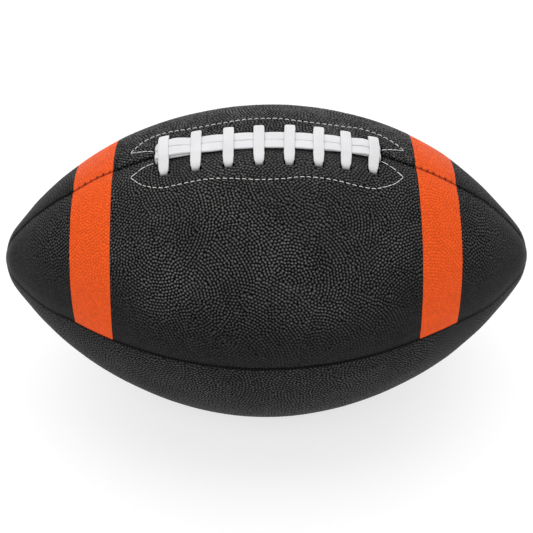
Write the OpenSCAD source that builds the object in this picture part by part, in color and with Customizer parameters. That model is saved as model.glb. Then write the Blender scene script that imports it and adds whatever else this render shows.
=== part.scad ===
// American football, full size: four sewn panels, lining, bladder, valve and laces.
// The long axis lies along X, the laces are on top at +Z, and the origin is the centre of the ball.

/* [Ball] */
// Length from tip to tip
ball_length = 282; // [270:1:292]
// Diameter round the middle
ball_diameter = 169; // [160:1:174]
// Radius of the rounded tips
nose_radius = 28; // [22:0.5:34]

/* [Layers] */
// Thickness of the pebbled cover
cover_t = 2.0; // [1.8:0.1:2.4]
// Thickness of the woven lining
lining_t = 1.6; // [1.4:0.1:2.0]
// Thickness of the rubber bladder
bladder_t = 0.9; // [0.6:0.1:1.2]

/* [Seams] */
// Half width of the groove along each seam
groove_half = 0.9; // [0.6:0.1:1.2]
// Depth of that groove
groove_depth = 1.0; // [0.9:0.1:1.2]
// Radius of the thread that lies in the groove
seam_thread_r = 0.45; // [0.3:0.05:0.5]
// Width of each panel's turned-in edge
turned_edge_w = 2.0; // [1.6:0.1:3.0]

/* [Stripes] */
// Distance from the centre of the ball to the near edge of a stripe
stripe_near = 80; // [76:0.5:90]
// Width of a stripe
stripe_w = 22; // [15:0.5:26]
// Depth of the coloured coat that makes a stripe
stripe_t = 0.4; // [0.3:0.1:0.6]

/* [Laces] */
// Width of the lace
lace_w = 5.6; // [4:0.1:6.5]
// Thickness of the lace
lace_t = 1.2; // [1.0:0.1:1.3]
// Distance from the middle of the slit to each row of lace holes, measured over the surface
hole_row = 15.3; // [14.5:0.1:17]
// Half the length of the slit under the laces
slit_half = 60; // [59:0.5:64]

/* [Stitching] */
// Distance between stitches on the lace panels
stitch_pitch = 3.0; // [2.5:0.1:4]
// Length of one stitch
stitch_l = 2.1; // [1.6:0.1:2.3]
// Radius of the white thread
stitch_r = 0.35; // [0.25:0.05:0.45]

/* [Valve] */
// Radius of the bore that the inflation needle goes into
needle_r = 1.0; // [0.9:0.05:1.2]
// Depth of that bore
needle_depth = 12; // [10:0.5:14]

/* [Hidden] */
$fn = 96;
R = ball_diameter / 2;
L2 = ball_length / 2;
cx = L2 - nose_radius;                                   // centre of a tip's sphere, along X
side_r = (R*R + cx*cx - nose_radius*nose_radius) / (2*(R - nose_radius));  // long side curve
d = side_r - R;                                          // its centre lies this far past the axis
th = atan2(cx, d);                                       // where the side curve meets the tip's sphere
wall = cover_t + lining_t;                               // cover and lining together
face_t = lining_t / 2;                                   // facing, and lace guard, share the lining's depth
tip_hole = 0.6;                                          // the four panels stop this short of the axis
gap = 0.5;                                               // half width of the slit
face_half = 74;                                          // facing's half length
face_w = 28;                                             // facing's width
guard_half = 58.5;                                       // lace guard's half length
guard_w = 22;                                            // lace guard's half width
lace_base = 0.1;                                         // the lace lies this far off the surface
bar_lift = 1.55;                                         // underside of a bar over the middle of the slit
// Where the bars cross, from the left tip to the right
bar_x = [-53, -36, -19.5, -3.5, 12, 27, 41.5, 56.5];
run_x0 = -57.6;                                          // where the lengthwise runs turn down
run_x1 = 60.4;
valve_r = 4.0;                                           // hole in the cover round the valve

// Radius of the ball at x
function prof(x) = let (a = abs(x), tx = side_r*sin(th))
    a < tx ? sqrt(side_r*side_r - a*a) - d : sqrt(max(0, nose_radius*nose_radius - (a - cx)*(a - cx)));
// A point over the surface: x along the ball, s round it from the laces (front is positive), h above it
function on_ball(x, s, h) = let (r = prof(x), p = s/r*180/PI, q = r + h) [x, -q*sin(p), q*cos(p)];

// ---------- profiles, in the half plane of radius and length ----------
module solid_profile(t) {
    intersection() {
        union() {
            intersection() {
                translate([-d, 0]) circle(r = side_r - t, $fn = 360);
                polygon([[-d, 0], [-d + 400*cos(th), 400*sin(th)], [800 - d, 0], [-d + 400*cos(th), -400*sin(th)]]);
            }
            for (s = [-1, 1]) intersection() {
                translate([0, s*cx]) circle(r = nose_radius - t, $fn = 180);
                polygon([[0, s*cx], [100*cos(th), s*(cx + 100*sin(th))], [0, s*(cx + 200)]]);
            }
        }
        translate([0, -L2 - 5]) square([R + 5, 2*L2 + 10]);
    }
}
module shell_profile(t0, t1, hole = 0) {
    difference() {
        solid_profile(t0);
        solid_profile(t1);
        if (hole > 0) translate([-1, -L2 - 5]) square([1 + hole, 2*L2 + 10]);
    }
}
// A quarter turn of a profile. Quarter 0 is rear belly, 1 rear lace, 2 front lace, 3 front belly.
module quarter(q) rotate([0, 90, 0]) rotate([0, 0, 90*q]) rotate_extrude(angle = 90, $fn = 180) children();
// The same slab along a quarter's two edges, where the cover turns in
module edge_slabs(w) {
    translate([-L2 - 5, -w, -R - 5]) cube([2*L2 + 10, 2*w, 2*R + 10]);
    translate([-L2 - 5, -R - 5, -w]) cube([2*L2 + 10, 2*R + 10, 2*w]);
}
// A rod of radius rr that follows the ball's meridian at depth t, from tip to tip, on the +Z side
module meridian_rod(rr, t, tip_gap) {
    rotate([90, 0, 0]) {
        translate([0, -d, 0]) rotate([0, 0, 90 - th]) rotate_extrude(angle = 2*th, $fn = 180) translate([side_r - t, 0]) circle(r = rr, $fn = 24);
        translate([cx, 0, 0]) rotate([0, 0, tip_gap]) rotate_extrude(angle = 91 - th - tip_gap, $fn = 90) translate([nose_radius - t, 0]) circle(r = rr - 0.02, $fn = 24);
        translate([-cx, 0, 0]) rotate([0, 0, 89 + th]) rotate_extrude(angle = 91 - th - tip_gap, $fn = 90) translate([nose_radius - t, 0]) circle(r = rr - 0.02, $fn = 24);
    }
}
// Turned about the long axis: 0 is the lace seam, 90 the front seam, 180 the bottom, 270 the rear
module about(a) rotate([a, 0, 0]) children();
module seam_thread(a) about(a) meridian_rod(seam_thread_r, groove_depth - seam_thread_r, 6);
// What the grooves along all four seams take away
module seam_grooves() intersection() {
    rotate([0, 90, 0]) rotate([0, 0, 45]) rotate_extrude($fn = 180) shell_profile(-1, groove_depth);
    edge_slabs(groove_half);
}

// ---------- cover ----------
module stripe_band(s, t0) {
    intersection() {
        shell_profile(t0, stripe_t);
        translate([0, s > 0 ? stripe_near : -stripe_near - stripe_w]) square([R + 5, stripe_w]);
    }
}
module cover_profile(striped) {
    difference() {
        shell_profile(0, cover_t, tip_hole);
        if (striped) for (s = [-1, 1]) stripe_band(s, 0);
    }
}
module turned_edges(q) {
    intersection() {
        quarter(q) shell_profile(cover_t - 0.2, wall, tip_hole);
        edge_slabs(turned_edge_w);
    }
}
module belly_cover(q) {
    difference() {
        union() {
            quarter(q) cover_profile(false);
            turned_edges(q);
        }
        seam_grooves();
    }
}
// A slot for the lace at bar i, on side s (front is +1)
module lace_slot(i, s, w, t) {
    x = bar_x[i];
    p = s*hole_row/prof(x)*180/PI;
    translate([x, 0, 0]) rotate([p, 0, 0]) translate([-w/2, -t/2, prof(x) - 6]) cube([w, t, 12]);
}
module end_slot(x) translate([x - lace_t/2 - 0.25, -6.6, prof(x) - 8]) cube([lace_t + 0.5, 13.2, 14]);
module lace_cuts(s) {
    translate([-slit_half, -gap, R - 40]) cube([2*slit_half, 2*gap, 50]);
    end_slot(run_x0);
    end_slot(run_x1);
    for (i = [0:7]) lace_slot(i, s, lace_w + 0.4, lace_t + 0.6);
}
module lace_cover(q) {
    s = q == 2 ? 1 : -1;
    difference() {
        union() {
            quarter(q) cover_profile(true);
            difference() {
                turned_edges(q);
                translate([-slit_half - 1, -turned_edge_w - 1, R - 40]) cube([2*slit_half + 2, 2*turned_edge_w + 2, 50]);
            }
        }
        seam_grooves();
        lace_cuts(s);
    }
}
module stripe(q, s) {
    difference() {
        quarter(q) stripe_band(s, 0);
        seam_grooves();
    }
}
module front_lace_panel() color("#2b2b2d") lace_cover(2);
module rear_lace_panel() color("#343437") lace_cover(1);
module front_belly_panel() color("#262628") belly_cover(3);
module rear_belly_panel() color("#2f2f31") difference() { belly_cover(0); valve_axis() cylinder(r = valve_r, h = 20); }
module left_front_stripe() color("#f05a22") stripe(2, -1);
module right_front_stripe() color("#f05a22") stripe(2, 1);
module left_rear_stripe() color("#f05a22") stripe(1, -1);
module right_rear_stripe() color("#f05a22") stripe(1, 1);

// ---------- lining, facing and lace guard ----------
// Plan shape of a facing, from above, on side s
module facing_plan(s, grow = 0) {
    y0 = turned_edge_w + 0.05;
    translate([-face_half - grow, s > 0 ? -face_w - grow : y0, 0]) cube([2*face_half + 2*grow, face_w + grow - y0, R + 5]);
    translate([-slit_half + 1.5, s > 0 ? -y0 - 1 : gap + 0.5, 0]) cube([2*slit_half - 3, y0 + 0.5 - gap, R + 5]);
}
module guard_plan(grow = 0) translate([-guard_half - grow, -guard_w - grow, 0]) cube([2*guard_half + 2*grow, 2*guard_w + 2*grow, R + 5]);
module lining(q) {
    difference() {
        quarter(q) shell_profile(cover_t, wall, 4);
        edge_slabs(turned_edge_w + 0.05);
    }
}
module lace_lining(q) {
    s = q == 2 ? 1 : -1;
    difference() {
        lining(q);
        intersection() {
            facing_plan(s, 0.1);
            quarter(q) shell_profile(cover_t - 0.5, cover_t + face_t);
        }
        guard_plan(0.1);
    }
}
module facing(q) {
    s = q == 2 ? 1 : -1;
    difference() {
        intersection() {
            quarter(q) shell_profile(cover_t, cover_t + face_t, 4);
            facing_plan(s);
        }
        lace_cuts(s);
    }
}
module front_lace_lining() color("#cfc6b0") lace_lining(2);
module rear_lace_lining() color("#cfc6b0") lace_lining(1);
module front_belly_lining() color("#cfc6b0") lining(3);
module rear_belly_lining() color("#cfc6b0") difference() { lining(0); valve_axis() cylinder(r = 10, h = 20); }
module front_lace_facing() color("#8a8378") facing(2);
module rear_lace_facing() color("#8a8378") facing(1);
module lace_guard() color("#6f6a62") intersection() {
    rotate([0, 90, 0]) rotate([0, 0, 150]) rotate_extrude(angle = 60, $fn = 180) shell_profile(cover_t + face_t, wall);
    guard_plan();
}

// ---------- bladder and valve ----------
// From the valve's seat on the surface of the rear belly panel, pointing out
module valve_axis() rotate([-135, 0, 0]) translate([0, 0, R - 15]) children();
module bladder() color("#1d1d1f") difference() {
    rotate([0, 90, 0]) rotate_extrude($fn = 180) shell_profile(wall + 0.05, wall + 0.05 + bladder_t);
    valve_axis() cylinder(r = valve_r - 0.1, h = 20);
}
module valve_boot() color("#3a3a3c") difference() {
    union() {
        intersection() {
            rotate([0, 90, 0]) rotate([0, 0, 20]) rotate_extrude(angle = 50, $fn = 180) shell_profile(wall + 0.05 + bladder_t, wall + 1.25 + bladder_t);
            valve_axis() cylinder(r = 12, h = 20);
        }
        rotate([-135, 0, 0]) translate([0, 0, R - 18]) cylinder(r = valve_r - 0.1, h = 17.2);
    }
    rotate([-135, 0, 0]) translate([0, 0, R - 16]) cylinder(r = 2.6, h = 20);
}
module valve_core() color("#151516") rotate([-135, 0, 0]) difference() {
    translate([0, 0, R - 16]) cylinder(r = 2.6, h = 15);
    translate([0, 0, R - 1 - needle_depth]) cylinder(r = needle_r, h = needle_depth + 1);
}
module valve_washer() color("#5b564e") difference() {
    intersection() {
        quarter(0) shell_profile(cover_t, wall);
        valve_axis() cylinder(r = 9.9, h = 20);
    }
    valve_axis() cylinder(r = valve_r, h = 20);
}

// ---------- laces ----------
// The sector of a ring round c, from radius r0 to r1 and a degrees either side of the direction mid
module ring_sector(c, r0, r1, mid, a) {
    intersection() {
        translate(c) difference() { circle(r = r1, $fn = 720); circle(r = r0, $fn = 720); }
        polygon([c, c + 400*[cos(mid - a), sin(mid - a)], c + 800*[cos(mid), sin(mid)], c + 400*[cos(mid + a), sin(mid + a)]]);
    }
}
// A bar bends over the runs on a flat arc, and its ends turn down into their slots
module bar(i) {
    x = bar_x[i];
    r = prof(x);
    p = hole_row/r*180/PI;
    y1 = r*sin(p);
    z1 = r*cos(p) + lace_t/2 - 0.2;
    z0 = r + bar_lift + lace_t/2;
    rise = z0 - z1;
    rb = (y1*y1 + rise*rise)/(2*rise);
    a = asin(y1/rb);
    foot = cover_t + face_t - 0.05;
    translate([x - lace_w/2, 0, 0]) rotate([90, 0, 90]) linear_extrude(lace_w) {
        ring_sector([0, z0 - rb], rb - lace_t/2, rb + lace_t/2, 90, a);
        for (s = [-1, 1]) rotate(s*p) translate([-lace_t/2, r - foot]) square([lace_t, foot + lace_t/2 + 0.1]);
    }
}
// A lengthwise run between y0 and y1, which turns down through the slit at both ends
module run(y0, y1) {
    a0 = asin(run_x0/side_r);
    a1 = asin(run_x1/side_r);
    translate([0, y1, 0]) rotate([90, 0, 0]) linear_extrude(y1 - y0) {
        ring_sector([0, -d], side_r + lace_base, side_r + lace_base + lace_t, 90 - (a0 + a1)/2, (a1 - a0)/2);
        for (x = [run_x0, run_x1]) translate([x - lace_t/2, prof(x) - cover_t - 0.6]) square([lace_t, cover_t + 0.6 + lace_base + lace_t*0.75]);
    }
}
module lace_crossbars() color("#f2f2f0") for (i = [0:7]) bar(i);
module lace_front_run() color("#ececea") run(-5.7, -0.05);
module lace_rear_run() color("#e6e6e4") run(0.05, 5.7);

// ---------- threads ----------
module lace_seam_thread() color("#101011") difference() {
    seam_thread(0);
    translate([-slit_half - 2, -5, 0]) cube([2*slit_half + 4, 10, R + 5]);
}
module front_seam_thread() color("#101011") seam_thread(90);
module rear_seam_thread() color("#101011") seam_thread(270);
module bottom_seam_thread() color("#101011") seam_thread(180);

// Turning points of each stitched outline: x along the ball, distance round it from the slit
front_line = [[-70, 10.5], [-62.5, 18], [-54, 23], [-45, 23.8], [-34, 23.3], [-24, 23.8], [-13, 25.3], [-3, 26.3], [8, 25.5], [18, 23.8], [27, 23.6], [37, 24], [47, 24.6], [56.5, 23.5], [65, 18.2], [71, 11]];
rear_line = [[-71, 10.5], [-67, 15.3], [-62.5, 18.5], [-52, 19.4], [-39, 18.6], [-24, 19.4], [-10, 21.8], [5, 21.8], [19, 19.8], [37, 20.1], [49, 21.3], [60, 20.3], [68, 17], [72, 11.5]];
front_left_end = [-58, 5.3];
front_right_end = [60, 5.3];
rear_left_end = [-58.8, 4.4];
rear_right_end = [60.5, 5.3];

// A smooth line through points p, n steps to a span
function smooth(p, n) = let (m = len(p)) [for (i = [0:m - 2], k = [0:n - 1])
    let (a = p[max(i - 1, 0)], b = p[i], c = p[i + 1], e = p[min(i + 2, m - 1)], t = k/n)
    0.5*((2*b) + (c - a)*t + (2*a - 5*b + 4*c - e)*t*t + (3*b - a - 3*c + e)*t*t*t)];
// Length along a line up to each of its points
function run_length(q) = [for (i = 0, s = 0; i < len(q); s = s + (i + 1 < len(q) ? norm(q[i + 1] - q[i]) : 0), i = i + 1) s];
function at(q, s, u) = [lookup(u, [for (i = [0:len(q) - 1]) [s[i], q[i][0]]]), lookup(u, [for (i = [0:len(q) - 1]) [s[i], q[i][1]]])];
// One stitch from a to b, in ball coordinates
module stitch(a, b) {
    v = b - a;
    l = norm(v);
    translate(a) rotate([0, acos(v[2]/l), atan2(v[1], v[0])]) cylinder(r = stitch_r, h = l, $fn = 16);
}
module stitch_line(q, side) {
    s = run_length(q);
    total = s[len(s) - 1];
    n = floor(total/stitch_pitch);
    for (k = [0:n - 1]) {
        u0 = (k + 0.5)*total/n - stitch_l/2;
        p0 = at(q, s, u0);
        p1 = at(q, s, u0 + stitch_l);
        stitch(on_ball(p0[0], side*p0[1], stitch_r + 0.03), on_ball(p1[0], side*p1[1], stitch_r + 0.03));
    }
}
module facing_stitches(line, left_end, right_end, side) {
    m = len(line);
    stitch_line(concat(smooth(line, 6), [line[m - 1]]), side);
    stitch_line([line[0], left_end], side);
    stitch_line([line[m - 1], right_end], side);
}
module front_facing_stitches() color("#ffffff") facing_stitches(front_line, front_left_end, front_right_end, 1);
module rear_facing_stitches() color("#ffffff") facing_stitches(rear_line, rear_left_end, rear_right_end, -1);

front_lace_panel();
rear_lace_panel();
front_belly_panel();
rear_belly_panel();
left_front_stripe();
right_front_stripe();
left_rear_stripe();
right_rear_stripe();
front_lace_lining();
rear_lace_lining();
front_belly_lining();
rear_belly_lining();
front_lace_facing();
rear_lace_facing();
lace_guard();
bladder();
valve_boot();
valve_core();
valve_washer();
lace_crossbars();
lace_front_run();
lace_rear_run();
lace_seam_thread();
front_seam_thread();
rear_seam_thread();
bottom_seam_thread();
front_facing_stitches();
rear_facing_stitches();
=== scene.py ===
"""American football: pebbled cover panels, stripes, laces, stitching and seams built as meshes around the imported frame."""

import math

import bpy
import numpy as np
from mathutils import Matrix, Vector, kdtree


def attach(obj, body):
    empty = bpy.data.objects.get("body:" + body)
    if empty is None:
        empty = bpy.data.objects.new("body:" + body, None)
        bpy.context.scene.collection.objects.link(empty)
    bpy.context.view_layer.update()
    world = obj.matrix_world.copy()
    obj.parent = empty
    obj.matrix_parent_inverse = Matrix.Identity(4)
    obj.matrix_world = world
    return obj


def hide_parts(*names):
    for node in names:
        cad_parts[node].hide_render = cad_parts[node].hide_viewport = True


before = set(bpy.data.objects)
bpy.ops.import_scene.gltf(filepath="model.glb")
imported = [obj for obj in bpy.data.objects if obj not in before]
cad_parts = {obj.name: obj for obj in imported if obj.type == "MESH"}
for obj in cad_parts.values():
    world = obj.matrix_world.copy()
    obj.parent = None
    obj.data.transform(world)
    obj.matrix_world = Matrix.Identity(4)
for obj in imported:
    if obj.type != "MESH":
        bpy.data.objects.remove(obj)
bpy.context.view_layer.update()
PI = math.pi

# ------------------------------------------------------------------ the ball's shape, in millimetres
L2, R, NOSE = 141.0, 84.5, 28.0
CX = L2 - NOSE
SIDE = (R * R + CX * CX - NOSE * NOSE) / (2 * (R - NOSE))
D0 = SIDE - R
TH = math.atan2(CX, D0)
U1 = SIDE * TH                       # length along a meridian from the middle to where the nose begins
TIP_R = 0.35                         # the panels stop this far from the axis
U_END = U1 + NOSE * (math.acos(TIP_R / NOSE) - TH)
COVER_T, LINING_T = 2.0, 1.6
STRIPE_NEAR, STRIPE_W = 80.0, 22.0
BAR_X = [-53.0, -36.0, -19.5, -3.5, 12.0, 27.0, 41.5, 56.5]
# how far round from the slit each bar goes in, in front and at the rear, how far its middle stands up, and its own sideways wander
HOLES = {1: [14.0, 14.9, 15.3, 14.95, 14.7, 14.4, 14.2, 13.5], -1: [13.9, 13.1, 12.8, 12.9, 13.45, 13.15, 12.35, 11.9]}
BAR_LIFT = [1.6, 0.45, 0.0, 0.0, 0.0, 0.0, 0.35, 1.0]
BAR_SHIFT = [(0, 0, 0.5), (0, 0, 0), (0.3, 0.3, 0.3), (0, 0, 0), (0.6, 0.3, 0), (0.6, 0.3, 0), (0, 0, -0.4), (-0.6, -0.4, -1.3)]
RUN_X0, RUN_X1 = -56.8, 58.8
SLIT_HALF = 60.0
VALVE_R = 4.0
TICK, LACE_TICK, STITCH = 1.7, 3.9, 3.25   # pitch of the seams' stitches, of the lace seam's, and of the white ones
STEP = 0.39       # spacing of the cover's mesh
PITCH = 1.88                         # from one pebble of the grain to the next


def meridian(u):
    """x, radius, and the normal's two parts (along and out) at length u along a meridian."""
    u = np.asarray(u, float)
    a = np.abs(u)
    ang = np.where(a < U1, a / SIDE, TH + (a - U1) / NOSE)
    x = np.where(a < U1, SIDE * np.sin(ang), CX + NOSE * np.sin(ang))
    r = np.where(a < U1, SIDE * np.cos(ang) - D0, NOSE * np.cos(ang))
    return np.sign(u) * x, r, np.sign(u) * np.sin(ang), np.cos(ang)


def u_of_x(x):
    x = np.asarray(x, float)
    a = np.abs(x)
    xt = SIDE * math.sin(TH)
    side = SIDE * np.arcsin(np.clip(a / SIDE, 0, 1))
    nose = U1 + NOSE * (np.arcsin(np.clip((a - CX) / NOSE, -1, 1)) - TH)
    return np.sign(x) * np.where(a < xt, side, nose)


def bend(x):
    """The tips of a laced ball are drawn a little towards the laces."""
    a = np.abs(x)
    return 3.6 * (a / L2) ** 1.5 - 1.3 + np.exp(-((a - 82) / 28) ** 2)


def girth(x):
    """Hand-sewn panels never match exactly: one half of the ball is a little fuller than the other."""
    k = x / 80
    return 0.15 + 0.45 * k * np.exp(0.5 * (1 - k * k)) - 0.38 * smooth01((x - 92) / 18) - 0.30 * smooth01((x - 112) / 14) + 0.08 * smooth01((-104 - x) / 8) - 0.30 * smooth01((-122 - x) / 8)


def soft_curve(knots, width):
    """A curve through a few points, with its corners rounded off, as a dense table."""
    k = np.array(knots, float)
    grid = np.linspace(k[0, 0], k[-1, 0], 401)
    step = grid[1] - grid[0]
    m = int(3 * width / step)
    g = np.exp(-0.5 * (np.arange(-m, m + 1) * step / width) ** 2)
    return grid, np.convolve(np.pad(np.interp(grid, k[:, 0], k[:, 1]), m, mode="edge"), g / g.sum(), mode="valid")


# how far round the ball the lace seam and the front seam wander from their true places, along the ball
LACE_WANDER = soft_curve([(-141, 0), (-138.5, 0.7), (-134, 0.3), (-128, -0.4), (-124.5, -0.3), (-121, 0.6), (-117, 1.1), (-113, 1.35), (-111, 1.35), (-108, 2.0), (-104, 2.5), (-97, 2.5), (-93, 2.0), (-90, 1.8), (-67, 1.75), (-60, 0), (59, 0),
                          (65, 1.6), (70, 2.5), (91, 2.3), (95, 2.0), (100, 1.8), (104, 1.2), (108, 0.25), (111, -0.25), (114.7, -1.0), (118, -1.6), (122, -2.4), (127.5, -1.7), (132, -1.4), (138, 0), (141, 0)], 1.5)
FRONT_WANDER = soft_curve([(-141, 0), (-134, 1.2), (-126, 2.4), (-117, 2.0), (-112, 1.0), (-106, -1.0), (-100, -1.5), (-90, -1.3), (-80, -1.3), (-60, -1.8), (-40, -2.1), (-20, -2.05), (0, -2.5),
                           (20, -2.7), (40, -2.5), (60, -2.4), (80, -2.1), (90, -1.5), (100, -1.0), (106, 0.9), (112, 1.6), (117, 2.9), (124, 3.6), (134, 1.9), (141, 0)], 2.5)


# how much fuller or flatter than the rest the ball is, along its front belly and along its rear top
BELLY = soft_curve([(-141, 0), (-70, -0.05), (-52, -0.3), (-40, -0.45), (-20, -0.28), (-8, -0.35), (10, -0.7), (25, -0.85), (45, -0.62), (66, -0.55), (80, -0.38), (96, -0.05), (141, 0)], 5)
TOP = soft_curve([(-141, 0), (-95, 0), (-84, -0.15), (-55, -0.33), (-40, -0.18), (-20, -0.2), (0, 0), (23, 0.2), (34, 0.32), (50, 0.15), (65, -0.1), (85, -0.32), (95, 0), (141, 0)], 4)


def fullness(x, phi):
    a = np.mod(np.degrees(phi), 360)
    return np.interp(x, *BELLY) * np.exp(-((a - 140) / 32) ** 2) + np.interp(x, *TOP) * np.exp(-((a - 317) / 32) ** 2)


def wander(x, phi):
    """Distance round the ball that the panels are pulled, fading from each seam to the next."""
    a = np.mod(phi + PI, 2 * PI) - PI
    at_lace = 1 - smooth01(np.abs(a) / (PI / 2))
    at_front = 1 - smooth01(np.abs(a - PI / 2) / (PI / 2))
    return at_lace * np.interp(x, *LACE_WANDER) + at_front * np.interp(x, *FRONT_WANDER)


def place(u, phi, h):
    """Points over the ball: u along a meridian, phi round from the laces (front is positive), h above the surface."""
    x, r, nx, nr = meridian(u)
    phi = phi + wander(x, phi) / np.maximum(r, 4)
    h = h + (girth(x) + fullness(x, phi)) * np.clip(r / 30, 0, 1)
    px = x + nx * h
    q = r + nr * h
    return np.stack([px, -q * np.sin(phi), q * np.cos(phi) + bend(px)], -1)


def smooth01(t):
    t = np.clip(t, 0, 1)
    return t * t * (3 - 2 * t)


def waves(p, seed, lengths, amp):
    """Smooth, repeatable unevenness: a few sine waves in fixed random directions."""
    rng = np.random.default_rng(seed)
    out = np.zeros(len(p))
    for length in lengths:
        for _ in range(4):
            v = rng.normal(size=3)
            v /= np.linalg.norm(v)
            out += np.sin(p @ v * (2 * PI / length) + rng.uniform(0, 2 * PI))
    return out * amp / math.sqrt(4 * len(lengths))


# ------------------------------------------------------------------ meshes
def make_mesh(name, verts, quads, tris=None, attrs=None, uv=None, sharp=None):
    """An object from arrays in millimetres. sharp holds pairs of vertices whose edge stays crisp."""
    verts = np.asarray(verts, float) * 0.001
    quads = np.asarray(quads, np.int64).reshape(-1, 4)
    tris = np.zeros((0, 3), np.int64) if tris is None else np.asarray(tris, np.int64).reshape(-1, 3)
    me = bpy.data.meshes.new(name)
    me.vertices.add(len(verts))
    me.vertices.foreach_set("co", verts.astype(np.float32).ravel())
    loops = np.concatenate([quads.ravel(), tris.ravel()]).astype(np.int32)
    me.loops.add(len(loops))
    me.loops.foreach_set("vertex_index", loops)
    me.polygons.add(len(quads) + len(tris))
    starts = np.concatenate([np.arange(len(quads)) * 4, len(quads) * 4 + np.arange(len(tris)) * 3])
    me.polygons.foreach_set("loop_start", starts.astype(np.int32))
    me.update(calc_edges=True)
    me.polygons.foreach_set("use_smooth", np.ones(len(me.polygons), bool))
    for key, values in (attrs or {}).items():
        me.attributes.new(key, "FLOAT", "POINT").data.foreach_set("value", np.asarray(values, np.float32))
    if uv is not None:
        layer = me.uv_layers.new(name="OFBake")
        layer.data.foreach_set("uv", np.asarray(uv, np.float32)[loops].ravel() if len(uv) == len(verts) else np.asarray(uv, np.float32).ravel())
    if sharp is not None and len(sharp):
        ends = np.zeros(len(me.edges) * 2, np.int32)
        me.edges.foreach_get("vertices", ends)
        ends = np.sort(ends.reshape(-1, 2), 1)
        want = np.sort(np.asarray(sharp), 1)
        n = len(verts)
        flag = np.isin(ends[:, 0] * n + ends[:, 1], want[:, 0] * n + want[:, 1])
        me.attributes.new("sharp_edge", "BOOLEAN", "EDGE").data.foreach_set("value", flag)
    me.validate()
    ob = bpy.data.objects.new(name, me)
    bpy.context.scene.collection.objects.link(ob)
    return ob


def finish_piece(ob, material, slot, *nodes):
    ob.data.materials.clear()
    ob.data.materials.append(material)
    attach(ob, "root")
    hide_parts(*nodes)
    return ob


def arc_resample(p, step):
    """Points along polyline p at an even spacing, and their lengths."""
    seg = np.linalg.norm(np.diff(p, axis=0), axis=1)
    s = np.concatenate([[0], np.cumsum(seg)])
    n = max(2, int(round(s[-1] / step)) + 1)
    at = np.linspace(0, s[-1], n)
    return np.stack([np.interp(at, s, p[:, i]) for i in range(p.shape[1])], 1), at


def catmull(points, n=8):
    p = np.asarray(points, float)
    out = []
    for i in range(len(p) - 1):
        a, b, c, e = p[max(i - 1, 0)], p[i], p[i + 1], p[min(i + 2, len(p) - 1)]
        for t in np.linspace(0, 1, n, endpoint=False):
            out.append(0.5 * (2 * b + (c - a) * t + (2 * a - 5 * b + 4 * c - e) * t * t + (3 * b - a - 3 * c + e) * t ** 3))
    out.append(p[-1])
    return np.array(out)


# ------------------------------------------------------------------ stitched outlines, as in the frame
FRONT_LINE = [(-70.0, 10.0), (-62.5, 19.2), (-54, 23.7), (-45, 24.0), (-34, 23.7), (-24, 24.2), (-13, 25.5), (-3, 26.5), (8, 26.0), (18, 24.2), (27, 24.0), (37, 24.5), (47, 25.6), (56.5, 24.8), (65, 18.3), (70.5, 11)]
REAR_LINE = [(-71, 9.8), (-67, 14.4), (-62.5, 17.7), (-52, 20.2), (-39, 18.8), (-24, 19.8), (-10, 21.8), (5, 21.8), (19, 19.4), (37, 18.5), (49, 19.6), (60, 17.8), (67.5, 14.3), (72, 10.3)]
ENDS = {1: ((-58, 5.8), (59.2, 5.6)), -1: ((-58.8, 4.4), (60.2, 3.9))}

BOWS = {1: (-1.3, -1.2), -1: (0.3, 0.3)}    # how far the two short lines bow out


def outline(side):
    """The three runs of stitching on one side of the laces, each as points (x, distance round)."""
    line = FRONT_LINE if side > 0 else REAR_LINE
    out = [catmull(line)]
    for end, first, bow in zip(ENDS[side], (line[0], line[-1]), BOWS[side]):
        out.append(catmull([first, ((first[0] + end[0]) / 2, (first[1] + end[1]) / 2 + bow), end]))
    return out


def on_ball(xs, side, h=0.0):
    """(x, distance round) points to space, on the given side, h above the plain surface."""
    x = xs[:, 0]
    u = u_of_x(x)
    r = meridian(u)[1]
    return place(u, side * xs[:, 1] / r, h)


# ------------------------------------------------------------------ pebble grain
def swirls(seed):
    """The embossing's patches: a middle for each, and the centre that its rows curve round."""
    rng = np.random.default_rng(seed + 7)
    n = 150
    u = rng.uniform(-U_END + 2, U_END - 2, n)
    phi = rng.uniform(0, 2 * PI, n)
    mid = place(u, phi, 0.0)
    out = place(u, phi, 1.0) - mid
    mid[:, 2] -= bend(mid[:, 0])
    off = rng.normal(size=(n, 3))
    off -= (off * out).sum(1, keepdims=True) * out / (out * out).sum(1, keepdims=True)
    off /= np.linalg.norm(off, axis=1, keepdims=True)
    return mid, mid + off * rng.uniform(13, 50, (n, 1))


def across_rows(p, patches):
    """For each point: which way its patch's rows follow each other, and how far it is from that patch's centre."""
    mid, centre = patches
    tree = kdtree.KDTree(len(mid))
    for i, m in enumerate(mid.tolist()):
        tree.insert(m, i)
    tree.balance()
    own = np.array([tree.find(q)[1] for q in p.tolist()])
    d = p - centre[own]
    far = np.linalg.norm(d, axis=1)
    return d / far[:, None], far


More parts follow.
